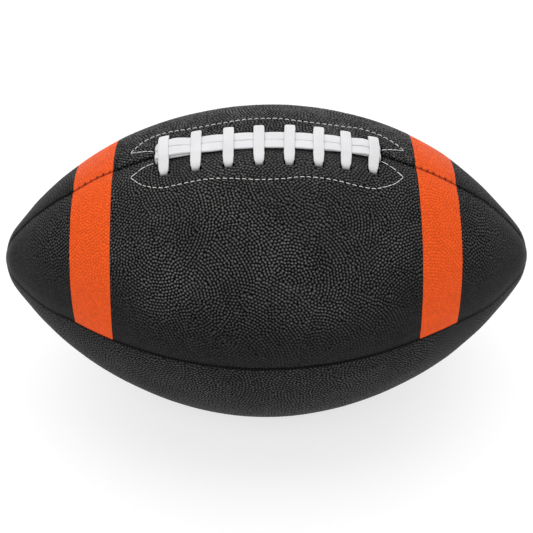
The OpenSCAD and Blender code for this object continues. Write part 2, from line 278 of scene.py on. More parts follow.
def seeds_for(phi0, seed):
    """Seeds of the grain on one panel: uneven rows that are then pushed apart until they sit evenly."""
    rng = np.random.default_rng(seed)
    patches = swirls(seed)
    out = []
    row = 0.866 * PITCH
    rows = np.arange(-U_END + 0.3, U_END, row)
    for k, u in enumerate(rows):
        r = float(meridian(u)[1])
        half = PI / 4 + 3.0 / max(r, 3.8)
        n = max(2, int(round(2 * half * r / PITCH)))
        p = -half + (np.arange(n) + 0.5 * (k % 2) + rng.uniform(0, 0.2)) * (2 * half / n)
        out.append(np.stack([u + rng.normal(0, 0.34 * PITCH, n), p + rng.normal(0, 0.34 * PITCH, n) / max(r, 2)], 1))
    s = np.concatenate(out)
    s[:, 0] = np.clip(s[:, 0], -U_END, U_END)
    mid = phi0 + PI / 4
    pos = place(s[:, 0], s[:, 1] + mid, 0.0)
    pos[:, 2] -= bend(pos[:, 0])
    turns = 12
    for turn in range(turns):
        if turn % 3 == 0:
            radial, far = across_rows(pos, patches)
        else:
            far = far + ((pos - before) * radial).sum(1)
        before = pos
        tree = kdtree.KDTree(len(pos))
        for i, p in enumerate(pos.tolist()):
            tree.insert(p, i)
        tree.balance()
        near = np.array([[q[1] for q in tree.find_n(p, 7)] for p in pos.tolist()])
        d = pos[:, None] - pos[near[:, 1:]]
        ln = np.linalg.norm(d, axis=2, keepdims=True) + 1e-6
        push = (d / ln * np.clip(1.12 * PITCH - ln, 0, None)).sum(1)
        pull = (np.round(far / row) * row - far)[:, None] * radial
        pos = pos + 0.33 * push + (0.27 if turn < turns - 2 else 0.13) * pull
        x = np.clip(pos[:, 0], -L2 + 0.05, L2 - 0.05)
        r = meridian(u_of_x(x))[1]
        q = np.hypot(pos[:, 1], pos[:, 2]) + 1e-9
        pos = np.stack([x, pos[:, 1] * r / q, pos[:, 2] * r / q], 1)
    return pos


def grain_at(points, pos, seed, sign):
    """For each point: how high on its pebble it is (0 in the pits, 1 on top), and a random number of its own for each
    pebble. The colour follows the height: painted shade in the pits, painted highlight on top.
    """
    tree = kdtree.KDTree(len(pos))
    for i, p in enumerate(pos.tolist()):
        tree.insert(p, i)
    tree.balance()
    f = np.empty((len(points), 5))
    for j, p in enumerate(points.tolist()):
        a, b, c = tree.find_n(p, 3)
        f[j] = a[2], b[2], c[2], a[1], b[1]
    # pebbles of one row run together; the valleys between the rows are deeper
    own, other = f[:, 3].astype(int), f[:, 4].astype(int)
    radial = across_rows(pos, swirls(seed))[0]
    gap = pos[other] - pos[own]
    gap /= np.linalg.norm(gap, axis=1, keepdims=True) + 1e-9
    deep = np.clip((gap * radial[own]).sum(1) ** 2 * 1.5, 0, 1)
    ridge = 1 - (0.45 + 0.55 * deep) * (1 - smooth01((f[:, 1] - f[:, 0]) / (0.52 * PITCH)))
    corner = smooth01((f[:, 1] + f[:, 2] - 2 * f[:, 0]) / (0.72 * PITCH))
    # every pebble leans, and has one deep pit under its lower side; as the colour follows the height, the pit and lower
    # side are painted shade and the peak, moved towards the upper side, a painted highlight, as light from above would
    # fall
    turn = np.arctan2(-pos[:, 1], pos[:, 2])
    down = sign * np.stack([np.zeros(len(pos)), -np.cos(turn), -np.sin(turn)], 1)
    way = np.sign((radial * down).sum(1) + 1e-6)[:, None]
    lean = down + 0.5 * way * radial
    lean /= np.linalg.norm(lean, axis=1, keepdims=True) + 1e-9
    pits = pos + 0.56 * PITCH * lean
    for _ in range(3):
        near = np.array([[q[1] for q in tree.find_n(p, 3)] for p in pits.tolist()])
        d = pits[:, None] - pos[near]
        ln = np.linalg.norm(d, axis=2, keepdims=True) + 1e-6
        pits = pits + 0.45 * (d / ln * np.clip(0.60 * PITCH - ln, -0.3, None)).sum(1)
    pit_tree = kdtree.KDTree(len(pits))
    for i, p in enumerate(pits.tolist()):
        pit_tree.insert(p, i)
    pit_tree.balance()
    far = np.array([pit_tree.find(p)[2] for p in points.tolist()])
    hole = np.exp(-(far / (0.31 * PITCH)) ** 2)
    peak = np.linalg.norm(points - (pos[own] - 0.12 * PITCH * down[own]), axis=1)
    dome = 1 - np.clip(peak / (0.75 * PITCH), 0, 1) ** 2
    top = np.clip((0.40 * ridge + 0.22 * corner + 0.42 * dome) - 0.66 * hole, 0, 1)
    rnd = np.random.default_rng(seed + 99).random(len(pos))[own]
    return top, rnd


# ------------------------------------------------------------------ cover panels
PANELS = {
    "front_lace_panel": (0.0, 1),
    "front_belly_panel": (PI / 2, 0),
    "rear_belly_panel": (PI, 0),
    "rear_lace_panel": (1.5 * PI, -1),
}
GRAIN = 0.56     # height of the pebbles


def rows_for(striped):
    """Rows along the ball, closer together at the tips, with a double row at each edge of a stripe."""
    cuts = [-U_END, U_END]
    if striped:
        a, b = float(u_of_x(STRIPE_NEAR)), float(u_of_x(STRIPE_NEAR + STRIPE_W))
        cuts = [-U_END, -b, -a, a, b, U_END]
    rows, zones = [], []
    for i in range(len(cuts) - 1):
        n = max(2, int(round((cuts[i + 1] - cuts[i]) / STEP)))
        u = np.linspace(cuts[i] + (0.012 if i else 0), cuts[i + 1], n + 1)
        rows.append(u)
        zones.append(np.full(len(u), i))
    return np.concatenate(rows), np.concatenate(zones)


# how far each edge of the stripes strays along the ball, at angles round from the laces in degrees
STRAY = [soft_curve([(-90, 0.8), (-43, 1.7), (-20, 1.0), (0, 0.3), (20, -0.1), (47, -0.55), (65, -0.2), (80, 0.5), (90, 1.2)], 4),
         soft_curve([(-90, 0.4), (-43, 1.0), (-20, 0.3), (0, -0.2), (47, -0.5), (90, -0.45)], 5),
         soft_curve([(-90, -1.8), (-43, -3.6), (-20, -2.8), (0, -2.1), (20, -1.0), (30, -0.6), (47, -0.05), (65, 0.0), (78, -0.4), (90, -0.9)], 4),
         soft_curve([(-90, -1.7), (-43, -3.5), (-20, -2.9), (0, -2.4), (20, -1.7), (47, -0.8), (65, -1.1), (80, -1.8), (90, -2.4)], 4)]
STRAY_U = [float(u_of_x(v)) for v in (-STRIPE_NEAR - STRIPE_W, -STRIPE_NEAR, STRIPE_NEAR, STRIPE_NEAR + STRIPE_W)]


def stray(u, phi):
    """How far rows of the striped panels are moved along the ball, so that the stripes' edges stray."""
    deg = np.degrees(np.mod(phi + PI, 2 * PI) - PI)
    inner = float(u_of_x(STRIPE_NEAR - 8))
    knots = [-U_END, STRAY_U[0], STRAY_U[1], -inner, inner, STRAY_U[2], STRAY_U[3], U_END]
    out = 0
    for j, k, slope in ((0, 1, 0.80), (1, 2, 0.88), (2, 5, 0.88), (3, 6, 0.80)):
        hat = np.zeros(8)
        hat[k] = 1 / slope
        out = out + np.interp(u, knots, hat) * np.interp(deg, *STRAY[j])
    return out


EDGE_T = np.array([0.0, 0.018, 0.06, 0.12, 0.19, 0.27, 0.36, 0.47, 0.6, 0.74, 0.87])
N_MID = int(round((R * PI / 2 - 7) / STEP))
GAP = 0.05


def columns(r):
    """Distances across the panel, for rows of radius r: close together at both edges, even between."""
    w = r * PI / 2
    zone = np.minimum(3.4, 0.3 * w)
    mid = np.linspace(0, 1, N_MID + 1)
    s = np.concatenate([zone[:, None] * EDGE_T, zone[:, None] + (w - 2 * zone)[:, None] * mid, (w[:, None] - zone[:, None] * EDGE_T[::-1])], 1)
    return np.clip(s, GAP, w[:, None] - GAP), w


def nearest_line(points, line, reach):
    """Distance from each point to a dense line and the length along it, or reach where it is further."""
    tree = kdtree.KDTree(len(line[0]))
    for i, p in enumerate(line[0].tolist()):
        tree.insert(p, i)
    tree.balance()
    d = np.full(len(points), float(reach))
    s = np.zeros(len(points))
    for j, p in enumerate(points.tolist()):
        _, i, dist = tree.find(p)
        if dist < reach:
            d[j] = dist
            s[j] = line[1][i]
    return d, s


def broad(u, phi):
    """Slow changes of the whole wall's height: the ball draws in along its seams and under the laces, and is never quite even."""
    x, r, _, _ = meridian(u)
    w = r * PI / 2
    s = np.mod(phi, PI / 2) * r
    e = np.minimum(s, w - s)
    v = np.abs(np.mod(phi + PI, 2 * PI) - PI) * r
    small = np.clip(w / 14, 0, 1)
    h = -0.42 * small * np.exp(-(e / 5.5) ** 2)
    h -= smooth01((SLIT_HALF + 7 - np.abs(x)) / 11) * 1.0 * np.exp(-(v / 5.6) ** 2)
    p = np.stack([x, -r * np.sin(phi), r * np.cos(phi)], -1)
    return h + (waves(p, 11, (95, 60), 0.16) + waves(p, 12, (30, 19), 0.05)) * small


LACE_FINE = float(u_of_x(101.5))


def lace_beat(u):
    """Counts the lace seam's stitches along the ball: long ones from the laces past the stripes, short ones at the tips."""
    return np.where(np.abs(u) > LACE_FINE, u / TICK, np.where(u < 0, u / LACE_TICK, 24 + (u - 91.96) / (LACE_TICK - 0.09)))


# which edges of each panel tuck in under the neighbour's: at its start, and at its end
UNDER = {"front_lace_panel": (0, 0), "front_belly_panel": (1, 0), "rear_belly_panel": (1, 1), "rear_lace_panel": (0, 1)}


def cover_height(u, phi, s, w, side, name, coat):
    """Height of a panel's outer face over the plain ball, before the grain; how much of the grain is left there, where
    less grain also means more painted shade in the seam, the stitch trough and the holes; and a measure that sets the
    painted shade along the seam.
    """
    x, r, _, _ = meridian(u)
    e = np.minimum(s, w - s)                                  # distance to the nearer seam
    small = np.clip(w / 14, 0, 1)                             # everything shrinks towards the tips
    # thread pulls the edges in at every stitch
    first = s < w / 2
    at_lace = first if side > 0 else (~first if side < 0 else np.zeros(len(u), bool))
    pucker = 0.5 + 0.5 * np.cos(2 * PI * np.where(at_lace, lace_beat(u), (u + np.where(first, 0.0, 0.4)) / TICK))
    under = np.where(first, *UNDER[name])
    roll_r = np.clip(np.where(at_lace, 1.1 + 0.45 * under, 0.42 + 0.18 * under) * np.where(coat & at_lace, 0.70, 1.0) * small, 0.10, None) * (0.95 + 0.15 * pucker)
    roll_r = np.minimum(roll_r, 0.3 * w)
    t = np.clip((roll_r - e) / roll_r, 0, 1)
    h = broad(u, phi) - 0.95 * roll_r * (1 - np.sqrt(np.clip(1 - t * t, 0, 1)))
    h -= 0.07 * small * pucker * np.exp(-(e / 1.5) ** 2)
    # one edge lies a little under the other, and shows the pull of the thread more
    long = at_lace & (np.abs(u) < LACE_FINE)
    tight = np.where(at_lace, 0.84 + 0.20 * np.sin(np.round(lace_beat(u)) * 2.4 + 1.0), 1.0)
    pull = np.where(coat, pucker ** 1.7 + 0.45 * (1 - pucker) ** 5, pucker ** 2.4) * np.exp(-((e - np.where(coat, 1.5, 1.1)) / np.where(coat, 1.35, 0.85)) ** 2) * tight
    dip = np.where(at_lace, np.where(coat, 0.02, 0.42) * np.exp(-(e / 2.2) ** 2), 0.06 * np.exp(-(e / 1.9) ** 2))
    h -= under * small * (dip + np.where(long, np.where(coat, 0.40, 0.46), 0.17) * pull)
    h += under * small * np.where(coat & at_lace, 0.10, 0.0) * (1 - pucker) ** 2 * pucker * 4 * np.exp(-((e - 1.0) / 0.5) ** 2)
    h += (1 - under) * 0.11 * small * np.exp(-((e - 1.1) / 0.8) ** 2)
    # painted shade along each seam: the smaller this measure, the darker the colour; it is smallest in the groove and
    # at each stitch, where the thread pulls the edge in
    seam_shade_dist = e * np.where(coat & at_lace, 1.25, np.where(at_lace, np.where(under > 0, 0.62, 1.2), np.where(under > 0, 1.9, 3.6))) * (1 - np.where(coat, 0.97, 0.85) * under * np.clip(1.5 * pull, 0, 1))
    p = place(u, phi, 0.0)
    p[:, 2] -= bend(p[:, 0])
    # where keep falls, the colour drops to the dark pit colour: painted shade along the seam's edge, wider at the
    # stitches
    keep = smooth01((e - 0.25 - np.where(at_lace & (under > 0), np.where(long, 0.40 + 0.85 * tight * pucker ** 2, 0.40 + 0.45 * pucker), 0.0)) / np.where(at_lace, np.where(under > 0, 1.0, 1.3), 1.1))
    if side:
        v = np.where(side > 0, s, w - s)                      # distance from the slit
        near = (np.abs(x) < 80) & (v < 34)
        pts = p[near]
        d_all = np.full(len(pts), 3.0)
        s_all = np.zeros(len(pts))
        for line in outline(side):
            dense, at = arc_resample(on_ball(line, side), 0.15)
            dense[:, 2] -= bend(dense[:, 0])
            d, sl = nearest_line(pts, (dense, at), 3.0)
            better = d < d_all
            d_all = np.where(better, d, d_all)
            s_all = np.where(better, sl, s_all)
        hn = h[near]
        # the stitches sink into the cover, and it swells a little on both sides of them
        hn -= 0.34 * np.exp(-(d_all / 0.65) ** 2) * (0.75 + 0.25 * np.cos(2 * PI * s_all / STITCH))
        hn += 0.10 * np.exp(-((d_all - 1.7) / 0.8) ** 2)
        # the trough under the stitches is painted darker too: painted shade
        kn = keep[near] * (0.35 + 0.65 * smooth01(d_all / 0.9))
        # holes that the lace goes into; inside them the colour drops to the dark pit colour: painted shadow
        xn, vn = x[near], v[near]
        for i, bx in enumerate(BAR_X):
            bx = bx + BAR_SHIFT[i][2 if side > 0 else 0]
            row = HOLES[side][i]
            q = np.sqrt((np.abs(xn - bx) / 2.35) ** 4 + (np.abs(vn - row - 0.75) / 1.0) ** 4) ** 0.5
            hn -= 1.9 * smooth01((1.30 - q) / 0.38)
            q2 = np.hypot((xn - bx) / 1.5, vn - row)
            hn -= 0.30 * np.exp(-(q2 / 3.0) ** 2)
            kn *= smooth01((q - 0.95) / 0.5)
        # the same for the slots where the tapes go in: painted shadow inside
        for ex in (RUN_X0, RUN_X1):
            q = np.sqrt((np.abs(xn - ex) / 1.4) ** 4 + (np.abs(vn) / 6.3) ** 4) ** 0.5
            hn -= 1.2 * smooth01((1.3 - q) / 0.45)
            kn *= smooth01((q - 0.95) / 0.5)
        h[near] = hn
        keep[near] = kn
    # the valve's hole: the colour of its dimple drops to the dark pit colour: painted shade
    if name == "rear_belly_panel":
        q = np.hypot(x, s - w / 2)
        h -= 1.9 * smooth01((VALVE_R + 0.12 - q) / 0.24)
        h -= 0.22 * np.exp(-((q - VALVE_R) / 1.2) ** 2)
        keep *= smooth01((q - VALVE_R - 0.1) / 1.0)
    return h, keep, seam_shade_dist


def build_panel(name, seed):
    phi0, side = PANELS[name]
    u, zone = rows_for(bool(side))
    x, r, nx, nr = meridian(u)
    s, w = columns(r)
    nrow, ncol = s.shape
    turn = (s / r[:, None]).ravel()
    phi = phi0 + turn
    uu = np.repeat(u, ncol)
    if side:
        uu = uu + stray(uu, phi)
    xx, rr, _, _ = meridian(uu)
    ww, ss = rr * PI / 2, rr * turn
    coat = np.isin(np.repeat(zone, ncol), (1, 3)) & bool(side)
    h, keep, seam_shade_dist = cover_height(uu, phi, ss, ww, side, name, coat)
    flat = place(uu, phi, 0.0)
    flat[:, 2] -= bend(flat[:, 0])
    pos = seeds_for(phi0, seed)
    top, rnd = grain_at(flat, pos, seed, -1 if name == "rear_belly_panel" else 1)
    # the grain is pulled flatter by the seams, at the tips and on the belly; the same factor sets how strong its
    # painted pit shade and highlights are, and on the rear lace panel it is raised well above 1, which strengthens them
    lace_d, other_d = (ss, ww - ss) if side >= 0 else (ww - ss, ss)
    by_lace, by_seam = np.exp(-(lace_d / 25) ** 2), np.exp(-(other_d / 21) ** 2)
    out_x = np.abs(xx)
    if side > 0:
        by_seam = np.exp(-(other_d / 28) ** 2)
        crisp = 1.25 * (1 - 0.70 * by_lace * (1 - 0.62 * smooth01((out_x - 45) / 15))) * (1 - 0.86 * by_seam) * (1 - (0.14 + 0.42 * smooth01((np.degrees(turn) - 42) / 30)) * smooth01((out_x - 55) / 23))
    elif side < 0:
        crisp = 1.95 * (1 - 0.12 * by_lace) * (1 - 0.25 * by_seam) * (1 - 0.74 * smooth01((out_x - 64) / 24))
    else:
        crisp = 0.80 - 0.20 * by_seam - 0.18 * np.exp(-(lace_d / 16) ** 2)
    crisp = crisp * (1 - 0.22 * smooth01((out_x - 80) / 30) - 0.30 * smooth01((out_x - 108) / 26))
    top = 0.56 + (top - 0.56) * np.clip(crisp, 0.12, 2.2)
    # on the front lace panel the grain is higher and lighter near the laces and a little lower by the seam, and on the
    # rear lace panel random pebbles are shifted up or down; this also moves their painted shade and highlights
    if side > 0:
        top += 0.13 * by_lace * (1 - 0.6 * smooth01((out_x - 45) / 15)) - 0.05 * by_seam
    if side < 0:
        top += 0.42 * (rnd - 0.5) * np.clip(1 - by_seam, 0.3, 1) * (1 - 0.8 * smooth01((out_x - 66) / 25))
    top = np.clip(top, 0, 1)
    size = np.clip((rr - 4) / 42, 0.12, 1)
    soft = 0.82 + 0.18 * smooth01(waves(flat, seed + 5, (45, 28), 1.0) * 0.5 + 0.5)
    h_all = h + (1.25 if side < 0 else 1.0) * GRAIN * (top - 0.75) * keep * size * soft * (0.8 + 0.4 * rnd)
    if side:
        h_all = np.where(coat, h + (0.72 if side > 0 else 0.6) * (h_all - h), h_all)
    h2 = h_all.reshape(nrow, ncol)
    # the closed section of each row: outer face, turned-in edge, inner face, turned-in edge
    deep = np.full(nrow, -(COVER_T + LINING_T))
    thin = np.full(nrow, -COVER_T - 0.02)
    edge = np.minimum(2.0, 0.25 * w)
    slit = (np.abs(x) < SLIT_HALF + 1) & bool(side)
    deep_a = np.where(slit & (side > 0), thin - 0.02, deep)
    deep_b = np.where(slit & (side < 0), thin - 0.02, deep)
    m = 14
    extra_s = [w - GAP, w - GAP, w - edge, w - edge - 0.02]
    extra_h = [(h2[:, -1] + deep_b) / 2, deep_b, deep_b, thin]
    for t in np.linspace(0, 1, m)[1:-1]:
        extra_s.append((w - edge) * (1 - t) + edge * t)
        extra_h.append(thin)
    extra_s += [edge + 0.02, edge, np.full(nrow, GAP), np.full(nrow, GAP)]
    extra_h += [thin, deep_a, deep_a, (h2[:, 0] + deep_a) / 2]
    es, eh = np.stack(extra_s, 1), np.stack(extra_h, 1)
    ephi = (phi0 + es / r[:, None]).ravel()
    eu = np.repeat(u, es.shape[1])
    if side:
        eu = eu + stray(eu, ephi)
    eh[:, 1:-1] += broad(eu, ephi).reshape(nrow, -1)[:, 1:-1]
    eh[:, 0] = (h2[:, -1] + eh[:, 1]) / 2
    eh[:, -1] = (h2[:, 0] + eh[:, -2]) / 2
    nx2 = es.shape[1]
    outer_h = h2.copy()
    if side:                                                  # the cover dips under each stripe
        under = ((zone == 1) | (zone == 3))[:, None]
        outer_h = np.where(under, outer_h - 0.4, outer_h)
    allp = np.concatenate([
        place(uu, phi, outer_h.ravel()).reshape(nrow, ncol, 3),
        place(eu, ephi, eh.ravel()).reshape(nrow, nx2, 3)], 1)
    k = ncol + nx2
    verts = allp.reshape(-1, 3)
    i = np.arange(nrow - 1)[:, None] * k
    a = np.arange(k)[None]
    b = (a + 1) % k
    quads = np.stack([i + a, i + b, i + k + b, i + k + a], -1).reshape(-1, 4)
    c0, c1 = len(verts), len(verts) + 1
    verts = np.concatenate([verts, allp[:1].mean(1), allp[-1:].mean(1)])
    a1 = np.arange(k)
    b1 = (a1 + 1) % k
    tris = np.concatenate([np.stack([b1, a1, np.full(k, c0)], 1), np.stack([(nrow - 1) * k + a1, (nrow - 1) * k + b1, np.full(k, c1)], 1)])
    # colour attributes: the grain, which also carries the painted pit shade and highlights and the painted shade where
    # keep falls at seams and holes; a random tone for each pebble; and the measure for the painted seam shade
    peb = np.concatenate([np.concatenate([(top * keep).reshape(nrow, ncol), np.zeros((nrow, nx2))], 1).ravel(), [0, 0]])
    cell = np.concatenate([np.concatenate([rnd.reshape(nrow, ncol), np.full((nrow, nx2), 0.5)], 1).ravel(), [0.5, 0.5]])
    seam = np.concatenate([np.concatenate([seam_shade_dist.reshape(nrow, ncol), np.zeros((nrow, nx2))], 1).ravel(), [0, 0]])
    # flat layout: the outer face fills most of the square, and the rest lies in a strip above it
    uc = (u - u[0]) / (u[-1] - u[0]) * 0.98 + 0.01
    vo = np.concatenate([0.01 + 0.90 * s / (R * PI / 2) + 0.45 * (1 - w / (R * PI / 2))[:, None], np.broadcast_to(np.linspace(0.925, 0.99, nx2), (nrow, nx2))], 1)
    uvv = np.stack([np.broadcast_to(uc[:, None], vo.shape), vo], -1).reshape(-1, 2)
    corner = np.concatenate([uvv, [[0.004, 0.95], [0.996, 0.95]]])
    per = corner[quads.ravel()].reshape(-1, 4, 2)
    wrap = (quads[:, 1] % k == 0)                             # last column back to the first
    per[wrap, 1, 1] = 0.996
    per[wrap, 2, 1] = 0.996
    join1 = (quads[:, 0] % k == ncol - 1)                     # outer face to the wall
    per[join1, 0, 1] = 0.917
    per[join1, 3, 1] = 0.917
    pert = corner[tris.ravel()].reshape(-1, 3, 2)
    pert[:, :, 0] = np.where(tris[:, [2]] == c0, 0.004, 0.996)
    pert[:, :, 1] = pert[:, :, 1] * 0.1
    uv = np.concatenate([per.reshape(-1, 2), pert.reshape(-1, 2)])
    # crisp edges: where the cover turns in, and at the stripe's edges
    rowk = np.arange(nrow - 1) * k
    sharp = [np.stack([rowk + c, rowk + k + c], 1) for c in (ncol + 1, ncol + 2, k - 3, k - 2)]
    if side:
        for j in np.flatnonzero(np.diff(zone)):
            for jj in (j, j + 1):
                sharp.append(np.stack([jj * k + np.arange(ncol - 1), jj * k + np.arange(1, ncol)], 1))
    ob = make_mesh("cover_" + name, verts, quads, tris, {"grain": peb, "cell": cell, "seam": seam}, uv, np.concatenate(sharp))
    stripes = []
    if side:
        for z, label in ((1, "left"), (3, "right")):
            pick = zone == z
            parts = [v.reshape(nrow, ncol)[pick] for v in (uu, phi, h2, top * keep, rnd, seam_shade_dist)]
            stripes.append((label, u[pick], s[pick], w[pick], *parts))
    return ob, stripes


def build_stripe(name, data):
    _, u, s, w, uu, phi, h, peb, rnd, seam_shade_dist = data
    nrow, ncol = h.shape
    n = nrow * ncol
    topv = place(uu.ravel(), phi.ravel(), h.ravel() + 0.012)
    low = place(uu.ravel(), phi.ravel(), h.ravel() - 0.37)
    verts = np.concatenate([topv, low])
    idx = np.arange(n).reshape(nrow, ncol)
    a, b, c, d = idx[:-1, :-1], idx[:-1, 1:], idx[1:, 1:], idx[1:, :-1]
    up = np.stack([a, b, c, d], -1).reshape(-1, 4)
    down = up[:, ::-1] + n
    rim = np.concatenate([idx[0, :], idx[1:, -1], idx[-1, -2::-1], idx[-2:0:-1, 0]])
    nxt = np.roll(rim, -1)
    wall = np.stack([rim, rim + n, nxt + n, nxt], 1)
    quads = np.concatenate([up, down, wall])
    uc = (u - u[0]) / (u[-1] - u[0])
    vc = s / (R * PI / 2) + 0.5 * (1 - w / (R * PI / 2))[:, None]
    uvt = np.stack([np.broadcast_to(0.01 + 0.47 * uc[:, None], vc.shape), 0.01 + 0.97 * vc], -1).reshape(-1, 2)
    uvd = uvt + [0.5, 0.0]
    corner = np.concatenate([uvt, uvd])
    per = corner[np.concatenate([up, down]).ravel()].reshape(-1, 2)
    m = len(rim)
    t = np.linspace(0.01, 0.99, m + 1)
    wuv = np.stack([np.stack([np.full(m, 0.984), t[:-1]], 1), np.stack([np.full(m, 0.996), t[:-1]], 1), np.stack([np.full(m, 0.996), t[1:]], 1), np.stack([np.full(m, 0.984), t[1:]], 1)], 1).reshape(-1, 2)
    sharp = np.concatenate([np.stack([rim, nxt], 1), np.stack([rim, nxt], 1) + n])
    attrs = {"grain": np.concatenate([peb.ravel(), peb.ravel()]), "cell": np.concatenate([rnd.ravel(), rnd.ravel()]),
             "seam": np.tile(seam_shade_dist.ravel(), 2)}
    return make_mesh(name, verts, quads, None, attrs, np.concatenate([per, wuv]), sharp)


# ------------------------------------------------------------------ sweeps with their own flat layout
def ring_shell(centres, side_hint, sections):
    """A closed solid swept along centres, as a dict of arrays. sections has one outline for each centre, as (across, up) pairs."""
    c = np.asarray(centres, float)
    n = len(c)
    d = np.gradient(c, axis=0)
    d /= np.linalg.norm(d, axis=1, keepdims=True)
    side = np.broadcast_to(np.asarray(side_hint, float), c.shape)
    side = side - (side * d).sum(1, keepdims=True) * d
    side /= np.linalg.norm(side, axis=1, keepdims=True)
    up = np.cross(d, side)
    sec = np.asarray(sections, float)
    k = sec.shape[1]
    v = (c[:, None] + sec[:, :, :1] * side[:, None] + sec[:, :, 1:] * up[:, None]).reshape(-1, 3)
    a = np.arange(k)
    b = (a + 1) % k
    i = np.arange(n - 1)[:, None] * k
    quads = np.stack([i + a, i + b, i + k + b, i + k + a], -1).reshape(-1, 4)
    v = np.concatenate([v, sec[0].mean(0)[0] * side[:1] + sec[0].mean(0)[1] * up[:1] + c[:1], sec[-1].mean(0)[0] * side[-1:] + sec[-1].mean(0)[1] * up[-1:] + c[-1:]])
    tris = np.concatenate([np.stack([b, a, np.full(k, n * k)], 1), np.stack([(n - 1) * k + a, (n - 1) * k + b, np.full(k, n * k + 1)], 1)])
    seg = np.concatenate([[0], np.cumsum(np.linalg.norm(np.diff(c, axis=0), axis=1))])
    along = np.concatenate([np.repeat(seg, k), [seg[0], seg[-1]]])
    across = np.concatenate([sec[:, :, 0].ravel(), [0, 0]])
    face = np.concatenate([np.tile(np.arange(k) / k, n), [0.5, 0.5]])
    ua, ub = a / k, (a + 1) / k
    y = 0.04 + 0.92 * np.arange(n) / max(n - 1, 1)
    uq = np.empty((n - 1, k, 4, 2))
    uq[:, :, 0, 0] = uq[:, :, 3, 0] = ua
    uq[:, :, 1, 0] = uq[:, :, 2, 0] = ub
    uq[:, :, 0, 1] = uq[:, :, 1, 1] = y[:-1, None]
    uq[:, :, 2, 1] = uq[:, :, 3, 1] = y[1:, None]
    ut = np.empty((2, k, 3, 2))
    ut[0, :, 0] = np.stack([ub, np.full(k, y[0])], 1)
    ut[0, :, 1] = np.stack([ua, np.full(k, y[0])], 1)
    ut[0, :, 2] = np.stack([(ua + ub) / 2, np.full(k, 0.0)], 1)
    ut[1, :, 0] = np.stack([ua, np.full(k, y[-1])], 1)
    ut[1, :, 1] = np.stack([ub, np.full(k, y[-1])], 1)
    ut[1, :, 2] = np.stack([(ua + ub) / 2, np.full(k, 1.0)], 1)
    return {"v": v, "q": quads, "t": tris, "along": along, "across": across, "face": face, "uq": uq.reshape(-1, 2), "ut": ut.reshape(-1, 2)}


def shells_object(name, shells, aspect=1.0):
    """One object from several shells, each with a place of its own in the flat layout."""
    m = len(shells)
    cols = max(1, min(m, int(round(math.sqrt(m * aspect)))))
    rows = -(-m // cols)
    v, q, t, uq, ut, along, across, face, own = [], [], [], [], [], [], [], [], []
    n = 0
    rng = np.random.default_rng(5)
    for j, sh in enumerate(shells):
        cell = np.array([(j % cols + 0.06) / cols, (j // cols + 0.06) / rows])
        scale = np.array([0.88 / cols, 0.88 / rows])
        v.append(sh["v"])
        q.append(sh["q"] + n)
        t.append(sh["t"] + n)
        uq.append(cell + sh["uq"] * scale)
        ut.append(cell + sh["ut"] * scale)
        along.append(sh["along"])
        across.append(sh["across"])
        face.append(sh["face"])
        own.append(np.full(len(sh["v"]), rng.random()))
        n += len(sh["v"])
    return make_mesh(name, np.concatenate(v), np.concatenate(q), np.concatenate(t),
                     {"along": np.concatenate(along), "across": np.concatenate(across), "face": np.concatenate(face), "own": np.concatenate(own)},
                     np.concatenate(uq + ut))


def tape(width, thick, crown=0.10, corner=0.40, rib=0.03, n_long=27):
    """Outline of a flat woven lace: soft corners, a little crowned, with shallow ribs on its faces."""
    hw, ht = width / 2, thick / 2
    c = min(corner, ht * 0.97, hw * 0.9)

    def corner_points(cx, cy, a0):
        a = np.radians(np.linspace(a0, a0 + 90, 6))
        return np.stack([cx + c * np.cos(a), cy + c * np.sin(a)], 1)

    def face(x, sign):
        y = sign * (ht + crown * (1 - (x / hw) ** 2) + rib * np.cos(2 * PI * x / 1.12) * np.clip((hw - np.abs(x)) / 0.9, 0, 1))
        return np.stack([x, y], 1)

    long_x = np.linspace(hw - c, -hw + c, n_long + 2)[1:-1]
    return np.concatenate([corner_points(hw - c, -ht + c, -90), corner_points(hw - c, ht - c, 0), face(long_x, 1),
                           corner_points(-hw + c, ht - c, 90), corner_points(-hw + c, -ht + c, 180), face(long_x[::-1], -1)])


def over_ball(x, s, h):
    """Points at true x, s round the ball from the slit, h over the surface."""
    u = u_of_x(x)
    r = meridian(u)[1]
    p = place(u, s / r, h)
    p[:, 0] = x
    return p


